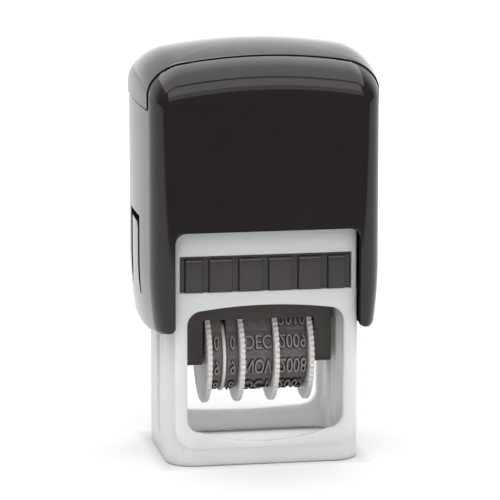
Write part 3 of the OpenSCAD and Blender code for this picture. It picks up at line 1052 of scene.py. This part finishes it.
    def shell(self) -> Piece:
        """Builds the cap's shell, without the place of the top cover.

        Returns:
            The new piece.
        """
        y, z = self.cover_y - self.seam, self.cover_z - self.side_seam
        skin = self.skin().cut((0, y, 0), (0, 1, 0)).cut((0, 0, z), (0, 0, 1))
        skin.drop(lambda p: p.y > y and p.z > z)
        piece = thicken(skin.join().piece("cap_body"), self.wall)
        return smooth(round_edges(piece, self.edge, keep=self.at_root))

    def cover(self) -> Piece:
        """Builds the separate cover over the crown.

        Returns:
            The new piece.
        """
        solid = self.add_crown(Solid(), self.cover_z)
        solid.join().cut((0, self.cover_y, 0), (0, 1, 0)).drop(lambda p: p.y < self.cover_y)
        piece = thicken(solid.join().face_out(self.crown_middle).piece("crown_cover"), self.cover_wall)
        return smooth(round_edges(piece, self.cover_edge, self.cover_facets))

    def roof(self) -> Piece:
        """The shell's roof under the cover."""
        solid = self.add_crown(Solid(), self.cover_z - self.roof_skirt, self.cover_wall + self.seam)
        return smooth(thicken(solid.join().face_out(self.crown_middle).piece("cap_roof"), self.roof_wall))

    def tab(self, side: int, name: str) -> Piece:
        """A lock tab in its opening.

        Args:
            side: -1 for the left tab and 1 for the right one.
            name: The piece's name.

        Returns:
            The new piece.
        """
        y0, y1 = self.tab_y[0] + self.tab_in, self.tab_y[1] - self.tab_in
        z0, z1 = self.tab_z[0] + self.root_gap, self.tab_z[1]
        soft, n = self.tab_r, self.tab_cells
        core_y, turn = self.form.core()[1], 0 if side > 0 else 180
        heights = [(z1 - soft - z0) * i / n for i in range(n)]
        heights += [z1 - soft - z0 + soft * math.sin(math.pi / 2 * i / n) for i in range(n + 1)]
        rows = []
        for z in [z0 + height for height in heights]:
            drawn = min(max(z - (z1 - soft), 0) / soft, 1)
            cut = soft * (1 - math.sqrt(1 - drawn * drawn))
            ys = [y0 + cut + (y1 - y0 - 2 * cut) * j / n for j in range(n + 1)]
            lift = self.tab_proud * smooth_step((z - z0) / self.tab_ease)
            outs = [self.proud - lift * (1 - 2 * (y - y0) / (y1 - y0)) for y in ys]
            stations = [Station(side, y / core_y, turn) for y in ys]
            rows.append([self.form.wall(s, z, out) for s, out in zip(stations, outs)])
        solid = Solid()
        solid.grid(rows)
        piece = thicken(solid.join().face_out(self.tab_middle).piece(name), self.wall - self.tab_thin)
        return smooth(round_edges(piece, self.edge, keep=self.at_root))

    def at_root(self, point: Vector) -> bool:
        """Whether a point lies at the root of a lock tab, where the tab runs on into the wall.

        Args:
            point: The point.

        Returns:
            Whether it does.
        """
        near_y, near_z = self.root_near
        in_y = self.opening()[0] - near_y < point.y < self.opening()[1] + near_y
        return in_y and abs(point.z - self.tab_z[0]) < near_z

    def line_inside(self, piece: Piece) -> None:
        """Gives a piece's inward faces a dull finish.

        Args:
            piece: The piece.
        """
        piece.data.materials.append(Finishes.CAP_INSIDE.value.material())
        for face in piece.data.polygons:
            out = face.normal.x * face.center.x + face.normal.y * face.center.y
            inward = out < -self.inward * face.center.xy.length
            under = face.normal.z < -self.downward and face.center.z > self.cover_z * MM
            face.material_index = int(inward or under)

    def build(self) -> None:
        """Builds and dresses the cap."""
        self.line_inside(seat(self.shell(), "cap", Finishes.CAP, ["cap_shell"]))
        seat(self.cover(), "cap", Finishes.CAP, ["top_cover"])
        seat(self.roof(), "cap", Finishes.CAP)
        for side, name in ((-1, "left"), (1, "right")):
            tongue = self.tab(side, f"{name}_tongue")
            seat(tongue, f"{name}_tab", Finishes.CAP, [f"{name}_lock_tab"])
            self.line_inside(tongue)


@dataclass
class BaseFrame:
    """The white frame and the return spring that stands on its deck."""

    edge: float = 0.35
    back_wall: float = 12.0
    window_half: float = 21.2
    window_near: float = 0.1
    sill_reach: float = 17.2
    sill_z: tuple[float, float] = (5.9, 12.9)
    sill_drop: float = 3.2
    wire: float = 1.2
    wire_cells: int = 10
    coil_r: float = 7.2
    coil_cells: int = 32
    coil_sharp: float = 60.0
    turns: int = 9
    end_pitch: float = 1.75
    pressed: float = 33.4

    def flat_sill(self, point: Vector) -> float:
        """Lowers the sill of the back window, which is flatter than the front one.

        Args:
            point: A point of the frame.

        Returns:
            How far it moves up.
        """
        low, high = self.sill_z
        beside = abs(point.x) > self.window_half + self.window_near
        if point.y < self.back_wall or beside or not low < point.z < high:
            return 0.0
        return -self.sill_drop * (min(abs(point.x), self.sill_reach) / self.window_half) ** 2

    def spring(self) -> Piece:
        """Builds the return spring, with its end turns close together.

        Returns:
            The new piece.
        """
        low, high = node_box("return_spring")
        z0, z1 = low.z + self.wire / 2, high.z - self.wire / 2
        mid_pitch = (z1 - z0 - 2 * self.end_pitch) / (self.turns - 2)
        rows = []
        for i in range(self.turns * self.coil_cells + 1):
            turn = i / self.coil_cells
            ends = min(turn, 1) + max(turn - self.turns + 1, 0)
            z = z0 + self.end_pitch * ends + mid_pitch * min(max(turn - 1, 0), self.turns - 2)
            a = 2 * math.pi * turn
            row = []
            for k in range(self.wire_cells):
                b = 2 * math.pi * k / self.wire_cells
                reach = self.coil_r + self.wire / 2 * math.cos(b)
                row.append((reach * math.cos(a), reach * math.sin(a), z + self.wire / 2 * math.sin(b)))
            rows.append(row)
        solid = Solid()
        solid.grid(rows, True)
        solid.fan(rows[0])
        solid.fan(rows[-1])
        piece = smooth(solid.join().face_out((0, 0, z0)).piece("spring_coil"), self.coil_sharp)
        seat(piece, "base", Finishes.STEEL, ["return_spring"])
        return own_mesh(piece)

    def build(self) -> None:
        """Builds and dresses the frame and the spring."""
        frame_piece = moulded("base_frame", "frame_moulding", self.edge, lift=self.flat_sill)
        seat(frame_piece, "base", Finishes.BASE, ["base_frame"])
        self.spring()


@dataclass
class Cartridge:
    """The ink cartridge: tray, grip and felt."""

    tray_edge: float = 0.2
    tray_facets: int = 2
    half: float = 22.9
    lowest: float = 0.03
    pitch: float = 8.0
    grooves: tuple[int, ...] = (-2, -1, 0, 1, 2)
    groove: float = 1.5
    flank: float = 1.2
    ledge: float = 0.75
    ledge_r: float = 1.0
    ledge_cells: int = 8
    depth: float = 1.1
    soft: float = 0.3
    soft_cells: int = 6
    pad_cells: int = 4
    plate: float = -18.35
    back: float = -17.5
    grip_middle: Point = (0, -18.2, 52)
    grip_sharp: float = 50.0
    felt_cells: tuple[int, int] = (36, 26)
    felt_shy: float = 0.05
    felt_crown: float = 0.12
    felt_rim: tuple[int, float] = (6, 1.5)
    felt_wave: tuple[float, float, float] = (0.02, 2.1, 1.7)

    def grip(self) -> Piece:
        """Builds the grip's front: raised pads on a plate, with a ledge along their tops.

        Returns:
            The new piece.
        """
        low, high = node_box("ink_tray")
        z0, z1 = low.z + self.lowest, high.z
        end, lip = self.half - self.flank, z1 - self.ledge
        xs = {-self.half, self.half}
        for step in [self.soft * k / self.soft_cells for k in range(self.soft_cells + 1)]:
            xs |= {step - end, end - step}
            for i in self.grooves:
                xs |= {i * self.pitch + side * (self.groove / 2 + step) for side in (-1, 1)}
        columns = sorted(xs)
        pads, ledges = self.pad_cells, self.ledge_cells
        zs = [z0, *[z0 + (lip - self.ledge_r - z0) * k / pads for k in range(1, pads)]]
        zs += [lip - self.ledge_r * (1 - math.sin(math.pi / 2 * k / ledges)) for k in range(ledges + 1)]
        zs.append(z1)
        rows = [[(x, self.face_y(x, z, lip), z) for x in columns] for z in zs]
        solid = Solid()
        solid.grid(rows)
        back = [[(x, self.back, z) for x in columns] for z in (z0, z1)]
        for place, edge, x in ((0, back[0], -self.half), (-1, back[1], self.half)):
            solid.grid([rows[place], edge])
            solid.grid([[row[place] for row in rows], [(x, self.back, z) for z in zs]])
        solid.face([back[0][0], back[0][-1], back[1][-1], back[1][0]])
        return smooth(solid.join().face_out(self.grip_middle).piece("cartridge_grip"), self.grip_sharp)

    def face_y(self, x: float, z: float, lip: float) -> float:
        """The grip's face: forward on the pads, back in the grooves and over the ledge.

        Args:
            x: X of a point of the face.
            z: Its height.
            lip: Height of the pads' tops.

        Returns:
            The point's Y.
        """
        offset = abs((x + self.pitch / 2) % self.pitch - self.pitch / 2)
        inside = min(offset - self.groove / 2, self.half - self.flank - abs(x))
        under = min(max((lip - z) / self.ledge_r, 0), 1)
        rounded = math.sqrt(1 - (1 - under) ** 2)
        return self.plate - self.depth * smooth_step(inside / self.soft) * rounded

    def felt(self) -> Piece:
        """Builds the ink felt, slightly crowned at its face.

        Returns:
            The new piece.
        """
        low, high = node_box("ink_pad")
        shy, size = self.felt_shy, high - low
        xs, ys = (
            [low[axis] + shy + (size[axis] - 2 * shy) * i / cells for i in range(cells + 1)]
            for axis, cells in enumerate(self.felt_cells)
        )

        def face(x: float, y: float) -> float:
            """Height of the felt's face.

            Args:
                x: X of a point of the face.
                y: Its Y.

            Returns:
                The point's height.
            """
            power, most = self.felt_rim
            rise, wave_x, wave_y = self.felt_wave
            share = (2 * abs(x) / size.x) ** power + (2 * abs(y) / size.y) ** power
            wave = rise * math.sin(wave_x * x) * math.cos(wave_y * y)
            return low.z + self.felt_crown * min(share, most) + wave

        bottom = [[(x, y, face(x, y)) for x in xs] for y in ys]
        top = [[(x, y, high.z - shy) for x in xs] for y in ys]
        solid = Solid()
        solid.grid(bottom)
        solid.grid(top)
        for i in (0, -1):
            solid.grid([bottom[i], top[i]])
            solid.grid([[row[i] for row in bottom], [row[i] for row in top]])
        piece = smooth(solid.join().face_out((0, 0, (low.z + high.z) / 2)).piece("felt_pad"))
        return piece

    def build(self) -> None:
        """Builds and dresses the cartridge."""
        tray = moulded("ink_tray", "tray_moulding", self.tray_edge, self.tray_facets, self.back)
        seat(tray, "ink_cartridge", Finishes.CARRIAGE, ["ink_tray"])
        seat(self.grip(), "ink_cartridge", Finishes.GRIP)
        seat(self.felt(), "ink_cartridge", Finishes.FELT, ["ink_pad"])


@dataclass
class DateWheel:
    """One date wheel: a toothed disc, its hub and, on one wheel, a plain ring."""

    name: str
    disc_left: bool
    has_ring: bool = False
    disc_r: float = 13.6
    disc_t: float = 1.3
    disc_edge: float = 0.2
    rim: float = 1.7
    web: float = 0.16
    slope: float = 0.2
    teeth: int = 54
    tooth: float = 0.8
    wave: tuple[float, ...] = (0.0, 0.0, 0.0, 0.5, 1.0, 0.5)
    hub_r: float = 8.2
    bore_r: float = 1.6
    ring_r: float = 10.45
    ring_t: float = 0.9
    ring_edge: tuple[float, float] = (0.15, 0.2)
    sharp: float = 30.0

    def profile(self) -> list[Point]:
        """Lays out the wheel's section, once around.

        Returns:
            Places along the axle, each with a radius and the share of the teeth's depth there.
        """
        low, high = node_box(f"{self.name}_wheel")
        a, b = low.x, high.x
        near, far = (a, a + self.disc_t) if self.disc_left else (b - self.disc_t, b)
        edge, rim_r = self.disc_edge, self.disc_r - self.rim
        near_web, far_web, slope_r = near + self.web, far - self.web, rim_r - self.slope
        root_r, crest_r = self.disc_r - edge - self.tooth, self.disc_r - edge
        body = [
            (near_web, self.bore_r, 0), (near_web, slope_r, 0), (near, rim_r, 0), (near, root_r, 0),
            (near, crest_r, 1), (near + edge, self.disc_r, 1), (far - edge, self.disc_r, 1),
            (far, crest_r, 1), (far, root_r, 0), (far, rim_r, 0), (far_web, slope_r, 0),
        ]
        if self.has_ring:
            ring, (in_x, in_r) = b - self.ring_t, self.ring_edge
            body += [
                (far_web, self.hub_r, 0), (ring, self.hub_r, 0), (ring, self.ring_r - in_r, 0),
                (ring + in_x, self.ring_r, 0), (b - in_x, self.ring_r, 0), (b, self.ring_r - in_r, 0),
                (b, self.bore_r, 0),
            ]
        elif self.disc_left:
            body += [(far_web, self.hub_r, 0), (b, self.hub_r, 0), (b, self.bore_r, 0)]
        else:
            hub = [(a, self.bore_r, 0), (a, self.hub_r, 0), (near_web, self.hub_r, 0)]
            body = [*hub, *body[1:], (far_web, self.bore_r, 0)]
        return body

    def build(self) -> None:
        """Builds and dresses the wheel."""
        low, high = node_box(f"{self.name}_wheel")
        axle_z = (low.z + high.z) / 2
        count = self.teeth * len(self.wave)
        rows = []
        for x, radius, toothed in [*self.profile(), self.profile()[0]]:
            row = []
            for i in range(count):
                a = 2 * math.pi * i / count
                r = radius - toothed * self.tooth * self.wave[i % len(self.wave)]
                row.append((x, r * math.cos(a), axle_z + r * math.sin(a)))
            rows.append(row)
        solid = Solid()
        solid.grid(rows, True)
        solid.join().face_out(((low.x + high.x) / 2, 0, axle_z))
        piece = smooth(solid.piece(f"{self.name}_dial_wheel"), self.sharp)
        seat(piece, f"{self.name}_dial", Finishes.WHEEL, [f"{self.name}_wheel"])


@dataclass
class BandPath:
    """The way of a band around its hub and over the type bar."""

    axle_z: float
    bar_top: float
    bar_half: float
    hub_r: float = 8.2
    bar_r: float = 1.4
    ease: float = 0.15
    thick: float = 1.2
    rows: int = 12

    def __post_init__(self) -> None:
        """Works out the lengths of the path's stretches."""
        self.core_hub = self.hub_r + self.ease
        self.core_bar = self.bar_r + self.ease
        self.bar_y = self.bar_half - self.bar_r
        self.bar_z = self.bar_top - self.bar_r
        reach = math.hypot(self.bar_y, self.bar_z - self.axle_z)
        narrow = self.core_hub - self.core_bar
        self.tilt = math.atan2(self.bar_z - self.axle_z, self.bar_y) - math.acos(narrow / reach)
        self.run = math.sqrt(reach**2 - narrow**2)
        middle = self.thick / 2
        self.bar_bend = self.core_bar + middle
        self.hub_bend = self.core_hub + middle
        self.bar_arc = self.bar_bend * (math.pi / 2 - self.tilt)
        self.half = self.bar_y + self.bar_arc + self.run + self.hub_bend * (math.pi / 2 + self.tilt)
        self.pitch = 2 * self.half / self.rows

    def point(self, along: float, height: float) -> tuple[float, float]:
        """A point over the band's inner face.

        Args:
            along: Length from the middle of the type bar, towards the front.
            height: Height over the inner face.

        Returns:
            Its Y and Z.
        """
        s = along % (2 * self.half)
        if s > self.half:
            y, z = self.point(2 * self.half - s, height)
            return -y, z
        bar, hub = self.core_bar + height, self.core_hub + height
        lean = math.pi - self.tilt
        if s < self.bar_y:
            return -s, self.bar_z + bar
        s -= self.bar_y
        if s < self.bar_arc:
            a = math.pi / 2 + s / self.bar_bend
            return -self.bar_y + bar * math.cos(a), self.bar_z + bar * math.sin(a)
        s -= self.bar_arc
        if s < self.run:
            share = s / self.run
            y0, z0 = -self.bar_y + bar * math.cos(lean), self.bar_z + bar * math.sin(lean)
            y1, z1 = hub * math.cos(lean), self.axle_z + hub * math.sin(lean)
            return y0 + (y1 - y0) * share, z0 + (z1 - z0) * share
        a = lean + (s - self.run) / self.hub_bend
        return hub * math.cos(a), self.axle_z + hub * math.sin(a)


@dataclass
class DateBand:
    """A rubber band with rows of raised type."""

    name: str
    words: Sequence[str]
    path: BandPath
    cells: int = 18
    chamfer: float = 0.15
    block: float = 0.41
    block_ease: float = 0.07
    block_rise: float = 0.22
    margin: float = 0.2
    letter_h: float = 3.7
    letter_cells: int = 6
    letter_gap: float = 0.002
    curve_cells: int = 4
    rise: float = 0.9
    sunk: float = 0.5
    bold: float = 0.004
    flare: float = 0.22
    digit_width: float = 0.58
    word_width: float = 0.85
    top_near: float = 0.2
    top_marks: int = 360
    sharp: float = 30.0

    def strip(self, x0: float, x1: float) -> Solid:
        """Builds the band itself, with a low block under each row of type.

        Args:
            x0: The band's left side.
            x1: The band's right side.

        Returns:
            The band's mesh.
        """
        path, chamfer = self.path, self.chamfer
        inner, outer = [], []
        for i in range(path.rows * self.cells):
            along = path.pitch * i / self.cells
            off = abs((i / self.cells + 0.5) % 1 - 0.5)
            lift = self.block_rise * (1 - smooth_step((off - self.block) / self.block_ease))
            inner.append((along, 0.0))
            outer.append((along, path.thick + lift))
        rings = [
            (x0, inner, 0), (x0, outer, -chamfer), (x0 + chamfer, outer, 0), (x1 - chamfer, outer, 0),
            (x1, outer, -chamfer), (x1, inner, 0), (x0, inner, 0),
        ]
        solid = Solid()
        solid.grid([[(x, *path.point(s, h + low)) for s, h in ring] for x, ring, low in rings], True)
        return solid

    def letters(self, word: str, width: float) -> bpy.types.Mesh:
        """The flat outlines of a word, in millimetres around its middle.

        Args:
            word: The word.
            width: The width that it may take.

        Returns:
            A mesh of the word's letters.
        """
        curve = bpy.data.curves.new("type", "FONT")
        curve.body = word
        curve.align_x = "CENTER"
        curve.align_y = "CENTER"
        curve.resolution_u = self.curve_cells
        curve.offset = self.bold
        holder = add_object("type", curve)
        mesh = shown_mesh(holder)
        bpy.data.objects.remove(holder)
        bpy.data.curves.remove(curve)
        xs = [v.co.x for v in mesh.vertices]
        ys = [v.co.y for v in mesh.vertices]
        scale_x = width / (max(xs) - min(xs))
        scale_y = self.letter_h / (max(ys) - min(ys))
        mid_x, mid_y = (max(xs) + min(xs)) / 2, (max(ys) + min(ys)) / 2
        scale_x = min(scale_x, scale_y * (self.digit_width if len(word) == 1 else self.word_width))
        for v in mesh.vertices:
            v.co = ((v.co.x - mid_x) * scale_x, (v.co.y - mid_y) * scale_y, 0)
        return mesh

    def raise_word(self, solid: Solid, word: str, row: int, x0: float, x1: float) -> None:
        """Adds one row of type to the band.

        Args:
            solid: The band's mesh.
            word: The row's word.
            row: The row's number from the type bar to the front and down.
            x0: The band's left side.
            x1: The band's right side.
        """
        path = self.path
        type_solid = Solid()
        letters = type_solid.bm
        mesh = self.letters(word, x1 - x0 - 2 * self.margin)
        letters.from_mesh(mesh)
        bpy.data.meshes.remove(mesh)
        bmesh.ops.remove_doubles(letters, verts=letters.verts, dist=self.letter_gap)
        for i in range(1, self.letter_cells):
            type_solid.cut((0, self.letter_h * (i / self.letter_cells - 0.5), 0), (0, 1, 0))
        rim = [e for e in letters.edges if len(e.link_faces) == 1]
        made = bmesh.ops.extrude_edge_only(letters, edges=rim)["geom"]
        skirt = {v for v in made if isinstance(v, bmesh.types.BMVert)}
        middle = (x0 + x1) / 2
        pushes = {v: self.outward(v) for v in skirt}
        for v in letters.verts:
            x, up = v.co.x, v.co.y
            height = path.thick + self.rise
            if v in skirt:
                x += pushes[v].x * self.flare
                up += pushes[v].y * self.flare
                height = path.thick + self.block_rise * self.sunk
            v.co = (middle + x, *path.point(row * path.pitch + up, height))
        faces = [[tuple(v.co) for v in f.verts] for f in letters.faces]
        letters.free()
        for corners in faces:
            solid.face(corners)

    @staticmethod
    def outward(vert: bmesh.types.BMVert) -> Vector:
        """Finds the way in the plane that leads away from a letter.

        Args:
            vert: A corner of the letter's skirt.

        Returns:
            The direction, or no direction where the skirt's sides cancel out.
        """
        push = Vector((0, 0, 0))
        for face in vert.link_faces:
            along = next((e for e in face.edges if vert in e.verts and e.is_boundary), None)
            if along is None:
                continue
            line = along.other_vert(vert).co - vert.co
            side = Vector((-line.y, line.x, 0))
            others = [e for e in face.edges if e is not along and e not in vert.link_edges]
            upper = next(e for e in others if len(e.link_faces) == 2)
            body = next(f for f in upper.link_faces if f is not face)
            inside = body.calc_center_median() - vert.co
            push += (side if side.dot(inside) < 0 else -side).normalized()
        return push.normalized() if push.length > TINY else push

    def pale_tops(self, piece: Piece) -> None:
        """Gives the tops of the raised type a paler finish and their flanks a dark one, which is partly dried
        ink and partly painted shade beside the letters.

        Args:
            piece: The dressed band.
        """
        path, marks = self.path, self.top_marks
        line = [path.point(2 * path.half * i / marks, path.thick + self.rise) for i in range(marks)]
        tops = set()
        for vert in piece.data.vertices:
            y, z = vert.co.y / MM, vert.co.z / MM
            if min(math.hypot(y - line_y, z - line_z) for line_y, line_z in line) < self.top_near:
                tops.add(vert.index)
        for finish in (Finishes.TYPE, Finishes.FLANK_INK_AND_SHADE):
            piece.data.materials.append(finish.value.material())
        for face in piece.data.polygons:
            if tops.issuperset(face.vertices):
                face.material_index = 1
            # Skirt faces take the flank colour, which is dried ink with painted shade.
            elif not tops.isdisjoint(face.vertices):
                face.material_index = 2

    def build(self) -> None:
        """Builds and dresses the band."""
        low, high = node_box(f"{self.name}_band")
        solid = self.strip(low.x, high.x)
        for row, word in enumerate(self.words):
            if word:
                self.raise_word(solid, word, row, low.x, high.x)
        solid.join()
        bmesh.ops.recalc_face_normals(solid.bm, faces=solid.bm.faces)
        piece = smooth(solid.piece(f"{self.name}_type_band"), self.sharp)
        seat(piece, "carriage", Finishes.BAND, [f"{self.name}_band"])
        self.pale_tops(piece)


@dataclass
class Carriage:
    """The carriage that turns over: frame, printing plate, bar, axle, pins, wheels and bands."""

    frame_edge: float = 0.3
    bar_edge: float = 0.15
    plate_edge: float = 0.08
    plate_facets: int = 2
    rod_edge: float = 0.2
    rods: tuple[str, ...] = (
        "wheel_axle", "left_pivot_pin", "right_pivot_pin", "left_turn_pin", "right_turn_pin",
    )
    days: tuple[str, ...] = ("1", "", "", "0", "9", "8", "7", "6", "5", "4", "3", "2")
    months: tuple[str, ...] = (
        "MAR", "FEB", "", "DEC", "NOV", "OCT", "SEP", "AUG", "JUL", "JUN", "MAY", "APR",
    )
    first_year: int = 2007
    top_year: int = 2012

    def years(self) -> list[str]:
        """The rows of the year band, falling from the type bar to the front and starting again."""
        first, count = self.first_year, len(self.months)
        return [str(first + (self.top_year - row - first) % count) for row in range(count)]

    def build(self) -> None:
        """Builds and dresses the carriage."""
        for node, name, edge in (
            ("carriage_frame", "carriage_moulding", self.frame_edge),
            ("type_bar", "bar_moulding", self.bar_edge),
        ):
            seat(moulded(node, name, edge), "carriage", Finishes.CARRIAGE, [node])
        plate = moulded("text_plate", "plate_moulding", self.plate_edge, self.plate_facets)
        seat(plate, "carriage", Finishes.PLATE, ["text_plate"])
        for rod in self.rods:
            seat(moulded(rod, f"{rod}_rod", self.rod_edge), "carriage", Finishes.STEEL, [rod])
        rows = {"tens": self.days, "units": self.days, "month": self.months, "year": self.years()}
        for name in rows:
            DateWheel(name, disc_left=name == "tens", has_ring=name == "tens").build()
        low, high = node_box("tens_wheel")
        bar_high = node_box("type_bar")[1]
        path = BandPath((low.z + high.z) / 2, bar_high.z, bar_high.y)
        for name, words in rows.items():
            DateBand(name, words, path).build()


@dataclass
class Studio:
    """Floor, light and camera, with lengths in metres."""

    lens: float = 270.2
    azimuth: float = -10.0
    pitch: float = 10.96
    camera_at: Point = (-0.1736, -0.9801, 0.2471)
    camera_near: float = 0.01
    floor_half: float = 3.0
    floor_front: float = -0.31
    floor_z: float = -0.00025
    paper: Colour = (0.64, 0.64, 0.64, 1.0)
    foot: tuple[float, float] = (0.026, 0.02)
    # Range of the painted contact shadow along the frame's foot.
    painted_contact_shadow_range: tuple[float, float] = (0.0, 0.004)
    # Range of the painted light on the floor under the frame.
    painted_light_under_range: tuple[float, float] = (0.001, 0.005)
    far_range: tuple[float, float] = (0.1, 0.5)
    brink_range: tuple[float, float] = (0.6, 1.6)
    contact_glow: float = 0.06
    # Glow past the painted contact shadow along the frame's foot.
    glow_past_painted_contact_shadow: float = 0.15
    # Painted light on the floor under the frame.
    painted_light_under_frame: float = 0.27
    far_glow: float = 0.27
    floor_mirror: tuple[float, float] = (0.12, 0.4)
    ambient: float = 0.74
    back_range: tuple[float, float] = (-0.1, 0.6)
    back_dim: float = 0.3
    side_dim: float = 0.44
    back_mirror: tuple[float, float] = (0.08, 1.36)
    top_z: float = 1.0
    top_width: float = 1.6
    top_lamps: tuple[tuple[str, float, float, float], ...] = (
        ("back_top", 0.5, 0.8, 2.2), ("front_top", -0.175, 0.55, 1.9),
    )
    front_away: float = 1.1
    front_z: float = 0.08
    front_width: float = 1.2
    front_lamps: tuple[tuple[str, float, float, float], ...] = (
        ("front_high", 38, 60, 1.9), ("front_low", 22, 38, 0.9),
    )

    def floor(self) -> None:
        """A plain pale floor that is white to the camera and keeps the stamp's shadow, with a painted contact
        shadow along the frame's foot and painted light on the floor under the frame.
        """
        solid = Solid()
        half, front, z = self.floor_half / MM, self.floor_front / MM, self.floor_z / MM
        solid.face([(-half, front, z), (half, front, z), (half, half, z), (-half, half, z)])
        floor = solid.piece("floor")
        made, nodes = new_material("floor_white")
        away = nodes.add("ShaderNodeVectorMath", {"operation": "LENGTH"}, {0: nodes.place()}, "Value")
        apart = nodes.add("ShaderNodeVectorMath", {"operation": "ABSOLUTE"}, {0: nodes.place()}, "Vector")
        over = (nodes.axis(apart, "X") - self.foot[0]).at_least(nodes.axis(apart, "Y") - self.foot[1])
        # Glow held back within a few millimetres of the frame's foot: a painted contact shadow along it.
        clear = self.glow_past_painted_contact_shadow * nodes.ramp(over, *self.painted_contact_shadow_range)
        # Extra glow on the floor inside the frame's foot: painted light where the stamp shades the floor.
        under = self.painted_light_under_frame * nodes.ramp(-1 * over, *self.painted_light_under_range)
        far = self.far_glow * nodes.ramp(away, *self.far_range)
        near_mirror, brink_mirror = self.floor_mirror
        mirror = near_mirror + brink_mirror * nodes.ramp(away, *self.brink_range)
        shown = nodes.ray("Camera") * (self.contact_glow + clear + under + far) + nodes.ray("Glossy") * mirror
        paper = nodes.add("ShaderNodeBsdfDiffuse", None, {"Color": self.paper})
        glow = nodes.add("ShaderNodeEmission", None, {"Color": shown, "Strength": 1})
        both = nodes.add("ShaderNodeAddShader", None, {0: paper, 1: glow})
        nodes.add("ShaderNodeOutputMaterial", None, {"Surface": both})
        floor.data.materials.append(made)

    def world(self) -> None:
        """A soft even light, with a white background for what the camera and gloss see."""
        world = bpy.data.worlds.new("studio")
        world.use_nodes = True
        nodes = Nodes(world.node_tree)
        seen, glossy = nodes.ray("Camera"), nodes.ray("Glossy")
        way = nodes.add("ShaderNodeTexCoord", output="Generated")
        aside, behind = nodes.axis(way, "X"), nodes.ramp(nodes.axis(way, "Y"), *self.back_range)
        front_mirror, back_mirror = self.back_mirror
        mirrored = glossy * (front_mirror + back_mirror * behind)
        even = self.ambient - self.back_dim * behind - self.side_dim * aside * aside
        shown = seen + mirrored + (1 - seen) * (1 - glossy) * even
        light = nodes.add("ShaderNodeBackground", None, {"Color": shown, "Strength": 1})
        nodes.add("ShaderNodeOutputWorld", None, {"Surface": light})
        bpy.context.scene.world = world

    def aim(self, piece: Piece, at: Point, ahead: Vector) -> None:
        """Places a lamp or the camera.

        Args:
            piece: The lamp or camera.
            at: Its place.
            ahead: The way that it looks.
        """
        piece.location = at
        piece.rotation_mode = "QUATERNION"
        piece.rotation_quaternion = ahead.to_track_quat("-Z", "Y")

    def lamp(self, name: str, at: Point, target: Point, size: tuple[float, float], level: float) -> None:
        """Adds a rectangular soft light.

        Args:
            name: Its name.
            at: Its place.
            target: The point that it shines at.
            size: Its width and height.
            level: How bright its face looks, where 1 is white.
        """
        data = bpy.data.lights.new(name, "AREA")
        data.shape = "RECTANGLE"
        data.size, data.size_y = size
        data.energy = level * math.pi * size[0] * size[1]
        self.aim(add_object(name, data), at, Vector(target) - Vector(at))

    def front_lamp(self, name: str, low: float, high: float, level: float) -> None:
        """Adds a soft light in front that reaches from one height angle to another.

        Args:
            name: Its name.
            low: Height angle of its lower edge in degrees.
            high: Height angle of its upper edge in degrees.
            level: How bright its face looks.
        """
        away, z = self.front_away, self.front_z
        middle, half = math.radians((low + high) / 2), math.radians((high - low) / 2)
        at = (0, -away * math.cos(middle), z + away * math.sin(middle))
        self.lamp(name, at, (0, 0, z), (self.front_width, 2 * away * math.tan(half)), level)

    def camera(self) -> None:
        """The camera at the photo's angle."""
        data = bpy.data.cameras.new("camera")
        data.lens = self.lens
        data.clip_start = self.camera_near
        camera = add_object("camera", data)
        turn, tip = math.radians(-self.azimuth), math.radians(self.pitch)
        ahead = Vector((math.sin(turn) * math.cos(tip), math.cos(turn) * math.cos(tip), -math.sin(tip)))
        self.aim(camera, self.camera_at, ahead)
        bpy.context.scene.camera = camera

    def build(self) -> None:
        """Sets up the stage."""
        bpy.context.scene.view_settings.view_transform = "Standard"
        self.camera()
        self.floor()
        self.world()
        for name, y, depth, level in self.top_lamps:
            self.lamp(name, (0, y, self.top_z), (0, y, 0), (self.top_width, depth), level)
        for name, low, high, level in self.front_lamps:
            self.front_lamp(name, low, high, level)


def main() -> None:
    """Builds the stage and the stamp."""
    logging.basicConfig(level=logging.INFO, format="%(message)s")
    Studio().build()
    Cap.from_frame().build()
    BaseFrame().build()
    Cartridge().build()
    Carriage().build()


if __name__ == "__main__":
    main()
